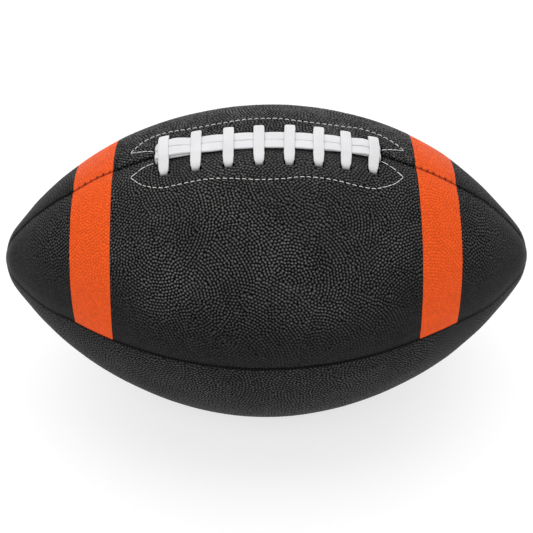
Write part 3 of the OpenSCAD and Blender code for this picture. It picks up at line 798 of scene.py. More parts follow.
def lace_bar(i, x0):
    rng = np.random.default_rng(40 + i)
    lift = rng.uniform(-0.05, 0.07)
    front, rear = HOLES[1][i] + 0.1, HOLES[-1][i] + 0.1
    up0 = BAR_LIFT[i]
    pts = [(-rear, -2.3), (-rear + 0.05, -1.2), (-rear + 0.2, -0.25), (-rear + 0.85, 0.60 + 0.15 * up0), (-rear + 2.2, 0.98 + 0.35 * up0), (-9.6, 1.26 + 0.6 * up0), (-7.9, 1.55 + 0.8 * up0), (-5.9, 2.0 + up0), (-3.5, 2.14 + up0), (0, 2.2 + up0),
           (3.5, 2.14 + up0), (5.9, 1.97 + up0), (7.9, 1.52 + 0.8 * up0), (9.9, 1.15 + 0.5 * up0), (front - 2.3, 0.84 + 0.25 * up0), (front - 0.95, 0.42), (front - 0.2, -0.35), (front - 0.05, -1.3), (front, -2.3)]
    path, _ = arc_resample(catmull([(a, b + lift * (abs(a) < 12)) for a, b in pts], 10), 0.42)
    s, h = path[:, 0], path[:, 1]
    xr, xm, xf = BAR_SHIFT[i]
    x = x0 + xm + np.where(s < 0, (xr - xm) * smooth01(-s / 13), (xf - xm) * smooth01(s / 14)) + 0.06 * np.sin(s / 3.5 + i)
    c = over_ball(x, s, h)
    tang = over_ball(x + 0.5, s, h) - over_ball(x - 0.5, s, h)
    sections = []
    for sv in s:
        f = float(smooth01((sv - front + 5.2) / 4.6))
        b = float(smooth01((-sv - rear + 3.0) / 3.0))
        wide = 5.66 * (1 - 0.10 * f - 0.08 * b) * (1 + 0.012 * math.sin(sv * 1.7 + i))
        wide *= 1 - 0.20 * float(smooth01((sv - front + 1.1) / 1.1)) - 0.14 * float(smooth01((-sv - rear + 0.9) / 0.9))
        sections.append(tape(wide, 1.12 + 0.12 * f, 0.13 + 0.18 * f + 0.03 * b, 0.42 + 0.1 * f, 0.012))
    d = np.gradient(c, axis=0)
    d /= np.linalg.norm(d, axis=1, keepdims=True)
    side = tang - (tang * d).sum(1, keepdims=True) * d
    side /= np.linalg.norm(side, axis=1, keepdims=True)
    return ring_shell(c, side, np.array(sections))


def run_rise(x):
    """How much higher than elsewhere the upper tape lies: its ends are on more lengths of tape, and it bows up between the outer bars."""
    ends = 1.15 * smooth01((-27 - x) / 19) + 0.85 * smooth01((x - 34) / 17)
    return ends + 0.75 * np.exp(-((x + 48) / 7.0) ** 2) + 0.35 * np.exp(-((x + 28) / 5.5) ** 2) + 0.30 * np.exp(-((x - 34) / 5.0) ** 2) + 0.60 * np.exp(-((x - 51.5) / 3.8) ** 2)


def run_path(base, rise, inset, step):
    """The line of one length of tape: up out of the slit, along, and down into it again."""
    x0, x1 = RUN_X0 + inset, RUN_X1 - inset
    h0, h1 = base + rise * float(run_rise(x0 + 1.0)), base + rise * float(run_rise(x1 - 1.0))
    pts = [(x0 + 0.35, -2.4), (x0 + 0.08, -1.3), (x0, 0.35 * h0 - 0.5), (x0 + 0.08, h0 - 0.75), (x0 + 0.55, h0 - 0.22), (x0 + 1.5, h0)]
    pts += [(v, base + rise * float(run_rise(v))) for v in np.arange(-53, 55, 2.5)]
    pts += [(x1 - 1.5, h1), (x1 - 0.55, h1 - 0.22), (x1 - 0.08, h1 - 0.75), (x1, 0.35 * h1 - 0.5), (x1 - 0.08, -1.3), (x1 - 0.35, -2.4)]
    path, _ = arc_resample(catmull(pts, 6), step)
    return path[:, 0], path[:, 1]


def lace_run(sign):
    """The doubled tape along one side of the slit: the upper length, the one that it lies on, and a third between them near the ends."""
    shells = []
    x, h = run_path(0.74, 1.0, 0.0, 0.5)
    h = h + (0.05 * np.sin(x / 5.2 + sign) + 0.04 * np.sin(x / 2.9 + 2 * sign)) * (np.abs(x) < 55)
    # between two bars the tape rises a hair, and spreads
    gaps = np.min(np.abs(x[:, None] - np.array(BAR_X)[None]), axis=1)
    rise = smooth01((gaps - 2.5) / 4)
    h = h + 0.07 * rise
    extra = (0.26 * smooth01((x + 42) / 8) * smooth01((33 - x) / 8) + 0.40 * np.exp(-((x + 28) / 5.0) ** 2) - 0.25 * np.exp(-((x - 49) / 4.0) ** 2)) * (sign > 0)
    wide = 5.74 + 0.14 * rise + 0.03 * np.sin(x / 3.3 + 1.0) + extra
    mid = 2.93 + 0.06 * rise + 0.05 * np.sin(x / 9.0 + 2 * sign) + extra / 2
    # beside the first bar both lengths lie a little to the rear, and the front one is spread flatter
    left = 0.9 * np.exp(-((x + 49) / 5.5) ** 2)
    if sign > 0:
        wide, mid = wide + left, mid - left / 2
    else:
        mid = mid + left
    wide = wide * (1 - 0.30 * smooth01((RUN_X0 + 1.0 - x) / 1.0) - 0.30 * smooth01((x - RUN_X1 + 1.0) / 1.0))
    lean = 0.05
    c = over_ball(x, sign * mid, h)
    hint = over_ball(x, sign * mid - 0.5, h - sign * lean * 0.5) - over_ball(x, sign * mid + 0.5, h + sign * lean * 0.5)
    shells.append(ring_shell(c, hint, np.array([tape(wv, 1.18, 0.11, 0.46, 0.012) for wv in wide])))
    # the length under it, which shows along the front edge
    x, h = run_path(-0.2, 0.36, 0.6, 0.6)
    ends = smooth01((-27 - x) / 19)
    out = 0.10 + (0.30 * ends + 0.10 * np.sin(x / 4.0)) * (1 if sign > 0 else 0.5) - (0.55 * smooth01((x - 30) / 8) if sign > 0 else 0.0)
    c = over_ball(x, sign * (2.84 + out), h)
    hint = over_ball(x, sign * 2.34, h - sign * 0.09) - over_ball(x, sign * 3.34, h + sign * 0.09)
    fat = 0.56 + 0.42 * ends + 0.3 * smooth01((x - 34) / 17)
    shells.append(ring_shell(c, hint, np.array([tape(5.3, f, 0.03, 0.26, 0.012, 21) for f in fat])))
    # the third length, between these two
    for x0, x1 in ((RUN_X0 + 0.7, -18.0), (24.0, RUN_X1 - 0.7)):
        x = np.linspace(x0, x1, 60)
        bottom = -0.2 + 0.36 * run_rise(x) + (0.56 + 0.42 * smooth01((-27 - x) / 19) + 0.3 * smooth01((x - 34) / 17)) / 2
        top = 0.15 + run_rise(x)
        h = (top + bottom) / 2
        out = -0.05 + 0.10 * np.sin(x / 4.6 + sign) * (1 if sign > 0 else 0.5) - (0.55 * smooth01((x - 30) / 8) if sign > 0 else 0.0)
        c = over_ball(x, sign * (2.84 + out), h)
        hint = over_ball(x, sign * 2.34, h - sign * 0.04) - over_ball(x, sign * 3.34, h + sign * 0.04)
        shells.append(ring_shell(c, hint, np.array([tape(5.3, f, 0.03, 0.24, 0.012, 21) for f in np.maximum(0.5, top - bottom + 0.1)])))
    return shells


def thread_shell(centres, side_hint, radius, lay, strands=3, k=12, taper=2, phase=0.0):
    """A twisted thread along centres: its strands show as lobes that wind round it once in every lay."""
    c = np.asarray(centres, float)
    seg = np.concatenate([[0], np.cumsum(np.linalg.norm(np.diff(c, axis=0), axis=1))])
    th = np.arange(k) * 2 * PI / k
    scale = np.ones(len(c))
    caps = [0.45, 0.82][:taper]
    for j, f in enumerate(caps):
        scale[j] = scale[-1 - j] = f
    lobes = 1 + 0.13 * np.cos(strands * (th[None] - 2 * PI * seg[:, None] / lay + phase))
    r = radius * scale[:, None] * lobes
    return ring_shell(c, side_hint, np.stack([r * np.cos(th), r * np.sin(th)], -1))


def skin_height(x, s, side):
    """Height of the cover on the lace panels at x and s from the slit, without its grain."""
    u = u_of_x(np.atleast_1d(x))
    r = meridian(u)[1]
    s = np.atleast_1d(s)
    return broad(u, side * s / r)


def white_stitches(side):
    shells = []
    rng = np.random.default_rng(70 + side)
    for k, line in enumerate(outline(side)):
        p, at = arc_resample(np.asarray(line, float), 0.1)
        total = at[-1]
        n = int(total / STITCH)
        for j in range(n):
            mid = (j + 0.5) * total / n + rng.normal(0, 0.05)
            close = k > 0 or (side > 0 and (mid > total - 16 or mid < 7))
            half = 0.475 * total / n if close else 1.22 + rng.normal(0, 0.07)
            t = np.linspace(-1, 1, 11)
            a = np.clip(mid + t * half, 0, total)
            xs, ss = np.interp(a, at, p[:, 0]), np.interp(a, at, p[:, 1])
            slant = rng.normal(0.05, 0.04)
            ss = ss + slant * t
            h = skin_height(xs, ss, side) - 0.34 + 0.46 * (1 - np.abs(t) ** (12 if close else 3.4)) + 0.04 * rng.random()
            u = u_of_x(xs)
            r = meridian(u)[1]
            c = place(u, side * ss / r, h)
            out = place(u, side * ss / r, h + 1.0) - c
            d = np.gradient(c, axis=0)
            hint = np.cross(d, out)
            shells.append(thread_shell(c, hint, 0.225 + rng.uniform(-0.025, 0.02), 1.05, 2, 12, 2, rng.uniform(0, 6)))
    return shells


def covered(u, phi):
    """1 where the seam runs between two stripes."""
    if phi != 0.0:
        return np.zeros(len(u))
    x = meridian(u)[0]
    gap = np.minimum(np.maximum(-101.6 - x, x + 80.3), np.maximum(78.1 - x, x - 99.6))
    return 1 - smooth01((gap + 0.6) / 0.8)


def seam_shells(phi, spans, lean):
    """The seam's thread, down in the groove, and its stitches out over the edge that lies lower. Between two stripes the coat covers them."""
    shells = []
    rng = np.random.default_rng(int(80 + phi * 10))
    fine = np.arange(-110, 111) * TICK
    if phi == 0.0:
        j = np.arange(-60, 61)
        long = np.where(j < 0, j * LACE_TICK, 91.96 + (j - 24) * (LACE_TICK - 0.09))
        spots = [(v, 1) for v in long[np.abs(long) < LACE_FINE]] + [(v, 0) for v in fine[np.abs(fine) > LACE_FINE]]
    else:
        spots = [(v, 0) for v in fine]
    for u0, u1 in spans:
        n = int((u1 - u0) / 0.5)
        u = np.linspace(u0, u1, n)
        r = meridian(u)[1]
        small = np.clip(r * PI / 2 / 14, 0.15, 1)
        h = broad(u, np.full(n, phi)) - 1.16 * small - 0.60 * covered(u, phi)
        s = 0.05 * np.sin(u / 1.1)
        c = place(u, phi + s / np.maximum(r, 1), h)
        hint = np.tile([0.0, -math.cos(phi), -math.sin(phi)], (n, 1))
        shells.append(thread_shell(c, hint, 0.30, 2.2, 3, 9, 2))
        for uj, long_one in spots:
            rj = float(meridian(uj)[1])
            if rj < 5 or uj < u0 + 0.6 or uj > u1 - 0.6 or covered(np.array([uj]), phi)[0] > 0.3:
                continue
            sm = min(1.0, rj * PI / 2 / 14)
            t = np.linspace(0, 1, 10)
            reach = (1.65 if long_one else 1.15) * sm
            ds = lean * (-0.25 * sm + (reach + 0.25 * sm) * t)
            hh = np.interp(t, [0, 0.15, 0.38, 0.62, 0.86, 1.0], [-1.2, -0.9, -0.36, -0.22, -0.26, -0.65]) * sm - (0.22 * sm if phi == 0.0 else 0.0)
            uu = uj + 0.25 * (t - 0.5) + rng.normal(0, 0.04)
            c = place(uu, phi + ds / rj, broad(uu, phi + ds / rj) + hh)
            shells.append(thread_shell(c, np.array([1.0, 0, 0]), (0.27 if long_one else 0.15) * max(sm, 0.5), 1.1, 2, 8, 2, rng.uniform(0, 6)))
    return shells


# ------------------------------------------------------------------ inner pieces, bent with the wall
def warped(node, follow=True):
    """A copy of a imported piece, moved with the wall that it is part of."""
    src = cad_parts[node].data
    n = len(src.vertices)
    co = np.empty(n * 3)
    src.vertices.foreach_get("co", co)
    p = co.reshape(-1, 3) * 1000
    me = src.copy()
    me.name = "inner_" + node
    if follow:
        q = np.hypot(p[:, 1], p[:, 2])
        phi = np.arctan2(-p[:, 1], p[:, 2])
        a = np.arctan2(np.abs(p[:, 0]), q + D0)
        b = np.arctan2(np.abs(p[:, 0]) - CX, q)
        on_side = a < TH
        u = np.where(on_side, a * SIDE, U1 + (b - TH) * NOSE) * np.sign(p[:, 0])
        h = np.where(on_side, np.hypot(p[:, 0], q + D0) - SIDE, np.hypot(np.abs(p[:, 0]) - CX, q) - NOSE)
        u = np.clip(u, -(U1 + NOSE * (PI / 2 - TH)), U1 + NOSE * (PI / 2 - TH))
        fade = smooth01((h + 14) / 8)
        new = place(u, phi, h + broad(u, phi) * fade)
    else:
        x0 = np.array([0.0])
        ph = np.array([1.25 * PI])
        drop = float(broad(x0, ph)[0])
        new = p + np.array([0, 0, float(bend(np.array(0.0)))]) + np.array([0, 1, -1]) / math.sqrt(2) * drop
    me.vertices.foreach_set("co", (new * 0.001).astype(np.float32).ravel())
    me.update()
    ob = bpy.data.objects.new("inner_" + node, me)
    bpy.context.scene.collection.objects.link(ob)
    return ob


# ------------------------------------------------------------------ materials
def new_material(name, **fixed):
    m = bpy.data.materials.new(name)
    m.use_nodes = True
    nt = m.node_tree
    nt.nodes.clear()
    out = nt.nodes.new("ShaderNodeOutputMaterial")
    bsdf = nt.nodes.new("ShaderNodeBsdfPrincipled")
    nt.links.new(bsdf.outputs["BSDF"], out.inputs["Surface"])
    for key, value in fixed.items():
        bsdf.inputs[key.replace("_", " ")].default_value = value
    return m, nt, bsdf


def put(nt, socket, value):
    if isinstance(value, bpy.types.NodeSocket):
        nt.links.new(value, socket)
    else:
        socket.default_value = value


def math_node(nt, op, a, b=0.0, clamp=False):
    n = nt.nodes.new("ShaderNodeMath")
    n.operation = op
    n.use_clamp = clamp
    put(nt, n.inputs[0], a)
    if op not in ("SINE", "COSINE", "ABSOLUTE", "FRACT", "FLOOR", "SQRT"):
        put(nt, n.inputs[1], b)
    return n.outputs[0]


def attribute(nt, name):
    n = nt.nodes.new("ShaderNodeAttribute")
    n.attribute_type = "GEOMETRY"
    n.attribute_name = name
    return n.outputs["Fac"]


def object_coords(nt):
    return nt.nodes.new("ShaderNodeTexCoord").outputs["Object"]


def noise(nt, coords, scale, detail=3.0, rough=0.55, distortion=0.0):
    n = nt.nodes.new("ShaderNodeTexNoise")
    put(nt, n.inputs["Vector"], coords)
    n.inputs["Scale"].default_value = scale
    n.inputs["Detail"].default_value = detail
    n.inputs["Roughness"].default_value = rough
    n.inputs["Distortion"].default_value = distortion
    return n.outputs["Fac"]


def cells(nt, coords, scale, feature="F1"):
    n = nt.nodes.new("ShaderNodeTexVoronoi")
    n.feature = feature
    put(nt, n.inputs["Vector"], coords)
    n.inputs["Scale"].default_value = scale
    return n.outputs["Distance"]


def span(nt, value, a, b, c, d):
    n = nt.nodes.new("ShaderNodeMapRange")
    put(nt, n.inputs["Value"], value)
    for key, v in (("From Min", a), ("From Max", b), ("To Min", c), ("To Max", d)):
        n.inputs[key].default_value = v
    return n.outputs["Result"]


def mix_color(nt, fac, a, b, blend="MIX"):
    n = nt.nodes.new("ShaderNodeMix")
    n.data_type = "RGBA"
    n.blend_type = blend
    put(nt, n.inputs["Factor"], fac)
    put(nt, n.inputs["A"], a)
    put(nt, n.inputs["B"], b)
    return n.outputs["Result"]


def scale_color(nt, color, factor):
    n = nt.nodes.new("ShaderNodeVectorMath")
    n.operation = "SCALE"
    put(nt, n.inputs[0], color)
    put(nt, n.inputs["Scale"], factor)
    return n.outputs[0]


def bump(nt, bsdf, height, distance, strength=1.0):
    n = nt.nodes.new("ShaderNodeBump")
    put(nt, n.inputs["Height"], height)
    n.inputs["Distance"].default_value = distance
    n.inputs["Strength"].default_value = strength
    nt.links.new(n.outputs["Normal"], bsdf.inputs["Normal"])


def leather(name, valley_shade, top, painted_highlight, spec, rough, contrast, deep=0.12):
    """Grained leather: painted shade between the pebbles and in their pits, which are also duller; painted highlights
    on the pebble tops; painted shade along the seams; uneven in tone.
    """
    m, nt, b = new_material(name, IOR=1.48)
    b.inputs["Specular IOR Level"].default_value = spec
    co = object_coords(nt)
    grain = attribute(nt, "grain")
    cell = attribute(nt, "cell")
    seam = attribute(nt, "seam")
    # high runs from the painted shade of the pits (0) to the lit pebble tops (1)
    high = span(nt, grain, 0.34, 0.80, 0.0, 1.0)
    tone = noise(nt, co, 26.0, 4.0, 0.6)
    patch = noise(nt, co, 7.0, 2.0, 0.5)
    fine = noise(nt, co, 2600.0, 3.0, 0.65)
    crease = cells(nt, co, 1500.0, "DISTANCE_TO_EDGE")
    # painted shade in the pits and between the pebbles, lighter on their tops, and a painted highlight on the highest
    # parts
    base = mix_color(nt, high, valley_shade, top)
    highlight_mask = math_node(nt, "MULTIPLY", span(nt, grain, 0.74, 0.96, 0.0, 1.0), span(nt, tone, 0.35, 0.75, 0.25, 1.0))
    base = mix_color(nt, math_node(nt, "MULTIPLY", highlight_mask, 0.55), base, painted_highlight)
    amount = math_node(nt, "ADD", span(nt, tone, 0.25, 0.75, 1 - 0.09 * contrast, 1 + 0.09 * contrast), span(nt, patch, 0.3, 0.7, -0.05 * contrast, 0.05 * contrast))
    amount = math_node(nt, "ADD", amount, span(nt, cell, 0.0, 1.0, -0.20 * contrast, 0.20 * contrast))
    amount = math_node(nt, "ADD", amount, span(nt, noise(nt, co, 1100.0, 2.0, 0.6), 0.3, 0.7, -0.22 * contrast, 0.22 * contrast))
    # painted shade along the seams and at their stitches; deep sets how dark it gets
    amount = math_node(nt, "MULTIPLY", amount, span(nt, seam, 0.0, 1.1, deep, 1.0))
    put(nt, b.inputs["Base Color"], scale_color(nt, base, amount))
    r = math_node(nt, "ADD", span(nt, high, 0.0, 1.0, rough + 0.16, rough), span(nt, fine, 0.3, 0.7, -0.05, 0.05))
    r = math_node(nt, "ADD", r, span(nt, patch, 0.3, 0.7, -0.04, 0.04))
    put(nt, b.inputs["Roughness"], r)
    h = math_node(nt, "ADD", math_node(nt, "MULTIPLY", fine, 0.55), math_node(nt, "MULTIPLY", span(nt, crease, 0.0, 0.18, 0.0, 1.0), 0.45))
    bump(nt, b, h, 0.00006, 0.8)
    return m


def woven(name, dark, light, warp, weft, depth, rough, sheen=0.0):
    """Woven tape: ribs along it and finer threads across, from its own lengthwise and crosswise measure in millimetres.
    Its colour is darker where the weave lies low: painted shade in the hollows.
    """
    m, nt, b = new_material(name, IOR=1.45)
    b.inputs["Specular IOR Level"].default_value = 0.35
    b.inputs["Sheen Weight"].default_value = sheen
    b.inputs["Sheen Roughness"].default_value = 0.5
    co = object_coords(nt)
    along, across = attribute(nt, "along"), attribute(nt, "across")
    own = attribute(nt, "own")
    a = math_node(nt, "SINE", math_node(nt, "MULTIPLY", across, 2 * PI / warp))
    z = math_node(nt, "SINE", math_node(nt, "ADD", math_node(nt, "MULTIPLY", along, 2 * PI / weft), math_node(nt, "MULTIPLY", across, 2 * PI / warp * 0.5)))
    cross = math_node(nt, "MULTIPLY", a, z)
    rib = math_node(nt, "SINE", math_node(nt, "ADD", math_node(nt, "MULTIPLY", across, 2 * PI / 1.12), PI / 2))
    fuzz = noise(nt, co, 1800.0, 3.0, 0.6)
    tone = noise(nt, co, 60.0, 3.0, 0.5)
    h = math_node(nt, "ADD", math_node(nt, "MULTIPLY", cross, 0.30), math_node(nt, "MULTIPLY", rib, 0.10))
    h = math_node(nt, "ADD", h, math_node(nt, "MULTIPLY", a, 0.08))
    h = math_node(nt, "ADD", h, math_node(nt, "MULTIPLY", fuzz, 0.5))
    f = span(nt, h, -0.45, 0.65, 0.0, 1.0)
    base = mix_color(nt, f, dark, light)
    amount = math_node(nt, "ADD", span(nt, tone, 0.3, 0.7, 0.955, 1.03), span(nt, own, 0.0, 1.0, -0.015, 0.015))
    put(nt, b.inputs["Base Color"], scale_color(nt, base, amount))
    put(nt, b.inputs["Roughness"], math_node(nt, "ADD", span(nt, f, 0.0, 1.0, rough + 0.12, rough), span(nt, fuzz, 0.3, 0.7, -0.04, 0.04)))
    bump(nt, b, h, depth, 0.8)
    return m


def thread(name, dark, light, lay, strands, rough, spec):
    """Twisted thread: filaments wind round with its strands; the colour is darker between the strands: painted shade.
    """
    m, nt, b = new_material(name, IOR=1.5)
    b.inputs["Specular IOR Level"].default_value = spec
    co = object_coords(nt)
    along, face, own = attribute(nt, "along"), attribute(nt, "face"), attribute(nt, "own")
    twist = math_node(nt, "SUBTRACT", math_node(nt, "MULTIPLY", face, 2 * PI * strands), math_node(nt, "MULTIPLY", along, 2 * PI * strands / lay))
    lobe = math_node(nt, "COSINE", twist)
    hairs = math_node(nt, "SINE", math_node(nt, "ADD", math_node(nt, "MULTIPLY", face, 2 * PI * 17), math_node(nt, "MULTIPLY", along, 2 * PI * 1.1)))
    fuzz = noise(nt, co, 3000.0, 2.0, 0.5)
    h = math_node(nt, "ADD", math_node(nt, "MULTIPLY", lobe, 0.5), math_node(nt, "MULTIPLY", hairs, 0.2))
    h = math_node(nt, "ADD", h, math_node(nt, "MULTIPLY", fuzz, 0.4))
    f = span(nt, h, -0.6, 0.9, 0.0, 1.0)
    base = mix_color(nt, f, dark, light)
    put(nt, b.inputs["Base Color"], scale_color(nt, base, span(nt, own, 0.0, 1.0, 0.94, 1.04)))
    put(nt, b.inputs["Roughness"], span(nt, f, 0.0, 1.0, rough + 0.15, rough))
    bump(nt, b, h, 0.00005, 0.7)
    return m


def cloth(name, dark, light, pitch):
    """Plain woven lining, laid out along the ball and round it; the colour is darker where the weave lies low: painted
    shade.
    """
    m, nt, b = new_material(name, IOR=1.45)
    b.inputs["Specular IOR Level"].default_value = 0.2
    co = object_coords(nt)
    sep = nt.nodes.new("ShaderNodeSeparateXYZ")
    put(nt, sep.inputs[0], co)
    x, y, z = sep.outputs
    turn = nt.nodes.new("ShaderNodeMath")
    turn.operation = "ARCTAN2"
    put(nt, turn.inputs[0], y)
    put(nt, turn.inputs[1], z)
    a = math_node(nt, "SINE", math_node(nt, "MULTIPLY", x, 2 * PI / pitch))
    c = math_node(nt, "SINE", math_node(nt, "MULTIPLY", turn.outputs[0], 2 * PI * round(2 * PI * 0.08 / pitch) / (2 * PI)))
    slub = noise(nt, co, 500.0, 3.0, 0.6)
    h = math_node(nt, "ADD", math_node(nt, "MULTIPLY", math_node(nt, "MULTIPLY", a, c), 0.6), math_node(nt, "MULTIPLY", slub, 0.6))
    f = span(nt, h, -0.3, 0.9, 0.0, 1.0)
    tone = noise(nt, co, 30.0, 3.0, 0.6)
    put(nt, b.inputs["Base Color"], scale_color(nt, mix_color(nt, f, dark, light), span(nt, tone, 0.3, 0.7, 0.9, 1.06)))
    put(nt, b.inputs["Roughness"], span(nt, f, 0.0, 1.0, 0.95, 0.82))
    bump(nt, b, h, 0.0001, 0.8)
    return m


def plain_hide(name, dark, light):
    """Ungrained split leather: a nap of short fibres."""
    m, nt, b = new_material(name, IOR=1.45)
    b.inputs["Specular IOR Level"].default_value = 0.2
    co = object_coords(nt)
    nap = noise(nt, co, 1500.0, 4.0, 0.7, 0.6)
    blot = noise(nt, co, 60.0, 4.0, 0.6)
    put(nt, b.inputs["Base Color"], scale_color(nt, mix_color(nt, nap, dark, light), span(nt, blot, 0.3, 0.7, 0.82, 1.12)))
    put(nt, b.inputs["Roughness"], span(nt, nap, 0.3, 0.7, 0.95, 0.8))
    bump(nt, b, nap, 0.00015, 0.8)
    return m


def rubber(name, dark, light, rough):
    """Moulded rubber: fine bloom and a few flow marks."""
    m, nt, b = new_material(name, IOR=1.52)
    b.inputs["Specular IOR Level"].default_value = 0.45
    co = object_coords(nt)
    bloom = noise(nt, co, 90.0, 4.0, 0.65)
    fine = noise(nt, co, 2200.0, 3.0, 0.6)
    put(nt, b.inputs["Base Color"], mix_color(nt, span(nt, bloom, 0.3, 0.75, 0.0, 1.0), dark, light))
    put(nt, b.inputs["Roughness"], math_node(nt, "ADD", span(nt, bloom, 0.3, 0.7, rough - 0.06, rough + 0.08), span(nt, fine, 0.3, 0.7, -0.04, 0.04)))
    bump(nt, b, math_node(nt, "ADD", fine, math_node(nt, "MULTIPLY", bloom, 0.5)), 0.00004, 0.7)
    return m


def floor_material():
    m, nt, b = new_material("studio_floor")
    b.inputs["Specular IOR Level"].default_value = 0.1
    co = object_coords(nt)
    n = noise(nt, co, 3.0, 3.0, 0.5)
    put(nt, b.inputs["Base Color"], mix_color(nt, n, (0.36, 0.36, 0.36, 1), (0.37, 0.37, 0.37, 1)))
    b.inputs["Emission Color"].default_value = (1, 1, 1, 1)
    b.inputs["Emission Strength"].default_value = 0.68
    put(nt, b.inputs["Roughness"], span(nt, n, 0.3, 0.7, 0.9, 0.98))
    return m


# leather colours in order: painted shade in the pits, the pebble tops, and a painted highlight on the tops
BLACK = leather("cover_leather", (0.0002, 0.0002, 0.0002, 1), (0.0378, 0.0376, 0.0373, 1), (0.185, 0.184, 0.181, 1), 0.056, 0.40, 1.0)
ORANGE = leather("stripe_coat", (0.69, 0.068, 0.009, 1), (0.83, 0.106, 0.0125, 1), (0.86, 0.126, 0.018, 1), 0.10, 0.46, 0.36, 0.13)
LACE = woven("lace_tape", (0.54, 0.54, 0.553, 1), (0.745, 0.745, 0.755, 1), 0.56, 0.62, 0.00006, 0.55, 0.10)
WHITE_THREAD = thread("white_thread", (0.50, 0.50, 0.49, 1), (0.84, 0.84, 0.83, 1), 1.25, 2, 0.45, 0.4)
BLACK_THREAD = thread("seam_thread", (0.004, 0.004, 0.004, 1), (0.016, 0.016, 0.016, 1), 1.1, 2, 0.5, 0.35)
LINING = cloth("lining_cloth", (0.40, 0.35, 0.26, 1), (0.62, 0.56, 0.44, 1), 0.0011)
FACING = plain_hide("facing_leather", (0.10, 0.08, 0.06, 1), (0.19, 0.155, 0.12, 1))
BLADDER = rubber("bladder_rubber", (0.022, 0.022, 0.023, 1), (0.045, 0.045, 0.047, 1), 0.42)
VALVE = rubber("valve_rubber", (0.026, 0.026, 0.027, 1), (0.050, 0.050, 0.052, 1), 0.5)

# ------------------------------------------------------------------ the pieces
STRIPE_NODES = {("front_lace_panel", "left"): "left_front_stripe", ("front_lace_panel", "right"): "right_front_stripe",
                ("rear_lace_panel", "left"): "left_rear_stripe", ("rear_lace_panel", "right"): "right_rear_stripe"}
for i, name in enumerate(PANELS):
    ob, stripes = build_panel(name, 100 + i)
    finish_piece(ob, BLACK, "cover", name)
    for data in stripes:
        node = STRIPE_NODES[(name, data[0])]
        finish_piece(build_stripe("coat_" + node, data), ORANGE, "stripe", node)

finish_piece(shells_object("laces_across", [lace_bar(i, x) for i, x in enumerate(BAR_X)], 8.0), LACE, "lace", "lace_crossbars")
finish_piece(shells_object("lace_run_front", lace_run(1), 2.0), LACE, "lace", "lace_front_run")
finish_piece(shells_object("lace_run_rear", lace_run(-1), 2.0), LACE, "lace", "lace_rear_run")
finish_piece(shells_object("stitching_front", white_stitches(1)), WHITE_THREAD, "white_thread", "front_facing_stitches")
finish_piece(shells_object("stitching_rear", white_stitches(-1)), WHITE_THREAD, "white_thread", "rear_facing_stitches")

END_U = U1 + NOSE * (math.acos(2.6 / NOSE) - TH)
SLIT_U = float(u_of_x(SLIT_HALF + 2))
finish_piece(shells_object("seam_stitching_lace", seam_shells(0.0, [(-END_U, -SLIT_U), (SLIT_U, END_U)], -1)), BLACK_THREAD, "seam_thread", "lace_seam_thread")
finish_piece(shells_object("seam_stitching_front", seam_shells(PI / 2, [(-END_U, END_U)], 1)), BLACK_THREAD, "seam_thread", "front_seam_thread")
finish_piece(shells_object("seam_stitching_bottom", seam_shells(PI, [(-END_U, END_U)], 1)), BLACK_THREAD, "seam_thread", "bottom_seam_thread")
finish_piece(shells_object("seam_stitching_rear", seam_shells(1.5 * PI, [(-END_U, END_U)], -1)), BLACK_THREAD, "seam_thread", "rear_seam_thread")

for node in ("front_lace_lining", "rear_lace_lining", "front_belly_lining", "rear_belly_lining"):
    finish_piece(warped(node), LINING, "lining", node)
for node in ("front_lace_facing", "rear_lace_facing", "lace_guard"):
    finish_piece(warped(node), FACING, "facing", node)
finish_piece(warped("bladder"), BLADDER, "bladder_rubber", "bladder")
finish_piece(warped("valve_washer", False), FACING, "facing", "valve_washer")
finish_piece(warped("valve_boot", False), VALVE, "valve_rubber", "valve_boot")
finish_piece(warped("valve_core", False), VALVE, "valve_rubber", "valve_core")

# ------------------------------------------------------------------ studio
low = min((ob.matrix_world @ v.co).z for ob in [bpy.data.objects["cover_front_belly_panel"], bpy.data.objects["cover_rear_belly_panel"]] for v in ob.data.vertices)
gx, gy = np.meshgrid(np.linspace(-4000, 4000, 41), np.linspace(-4000, 4000, 41), indexing="ij")
gv = np.stack([gx.ravel(), gy.ravel(), np.full(gx.size, low * 1000 - 0.05)], 1)
gi = np.arange(gx.size).reshape(41, 41)
floor = make_mesh("studio_floor", gv, np.stack([gi[:-1, :-1], gi[1:, :-1], gi[1:, 1:], gi[:-1, 1:]], -1).reshape(-1, 4))
floor.data.materials.append(floor_material())


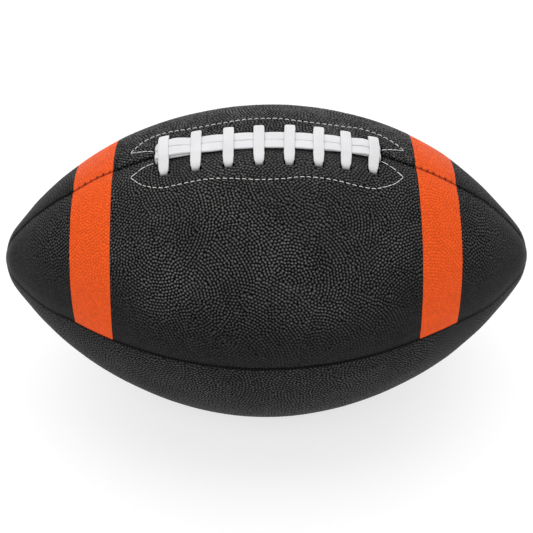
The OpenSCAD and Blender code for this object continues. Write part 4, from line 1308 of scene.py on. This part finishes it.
def area_light(name, place_m, aim_m, size, watts, color=(1, 1, 1)):
    data = bpy.data.lights.new(name, "AREA")
    data.shape = "RECTANGLE"
    data.size, data.size_y = size
    data.energy = watts
    data.color = color
    ob = bpy.data.objects.new(name, data)
    ob.location = place_m
    ob.rotation_euler = (Vector(aim_m) - Vector(place_m)).to_track_quat("-Z", "Y").to_euler()
    bpy.context.scene.collection.objects.link(ob)
    return ob


area_light("key_overhead", (0.0, 0.40, 1.9), (0, 0, 0), (2.4, 1.6), 23)
area_light("rim_rear", (0.0, 2.0, 0.9), (0, 0, 0.02), (2.6, 0.9), 14)
area_light("fill_front", (-0.3, -1.65, 1.65), (0, 0, 0), (2.4, 1.2), 18)

world = bpy.data.worlds.new("studio")
world.use_nodes = True
world.node_tree.nodes["Background"].inputs["Color"].default_value = (1, 1, 1, 1)
world.node_tree.nodes["Background"].inputs["Strength"].default_value = 0.48
bpy.context.scene.world = world
bpy.context.scene.view_settings.view_transform = "Standard"
bpy.context.scene.view_settings.look = "None"

# the photograph's view: level with the laces turned 43 degrees towards the eye
EL, DIST, ROLL = math.radians(43.0), 1.15, math.radians(0.36)
back = Vector((0, -math.cos(EL), math.sin(EL)))
right = Vector((1, 0, 0))
up = Vector((0, math.sin(EL), math.cos(EL)))
aim = -0.00375 * up
right2 = right * math.cos(ROLL) - up * math.sin(ROLL)
up2 = up * math.cos(ROLL) + right * math.sin(ROLL)
cam_data = bpy.data.cameras.new("photo_view")
cam_data.sensor_width = 36
cam_data.sensor_fit = "HORIZONTAL"
cam_data.lens = 143.25
cam_data.clip_start = 0.05
cam = bpy.data.objects.new("photo_view", cam_data)
cam.matrix_world = Matrix((
    (right2.x, up2.x, back.x, aim.x + DIST * back.x),
    (right2.y, up2.y, back.y, aim.y + DIST * back.y),
    (right2.z, up2.z, back.z, aim.z + DIST * back.z),
    (0, 0, 0, 1)))
bpy.context.scene.collection.objects.link(cam)
bpy.context.scene.camera = cam

bpy.context.view_layer.update()
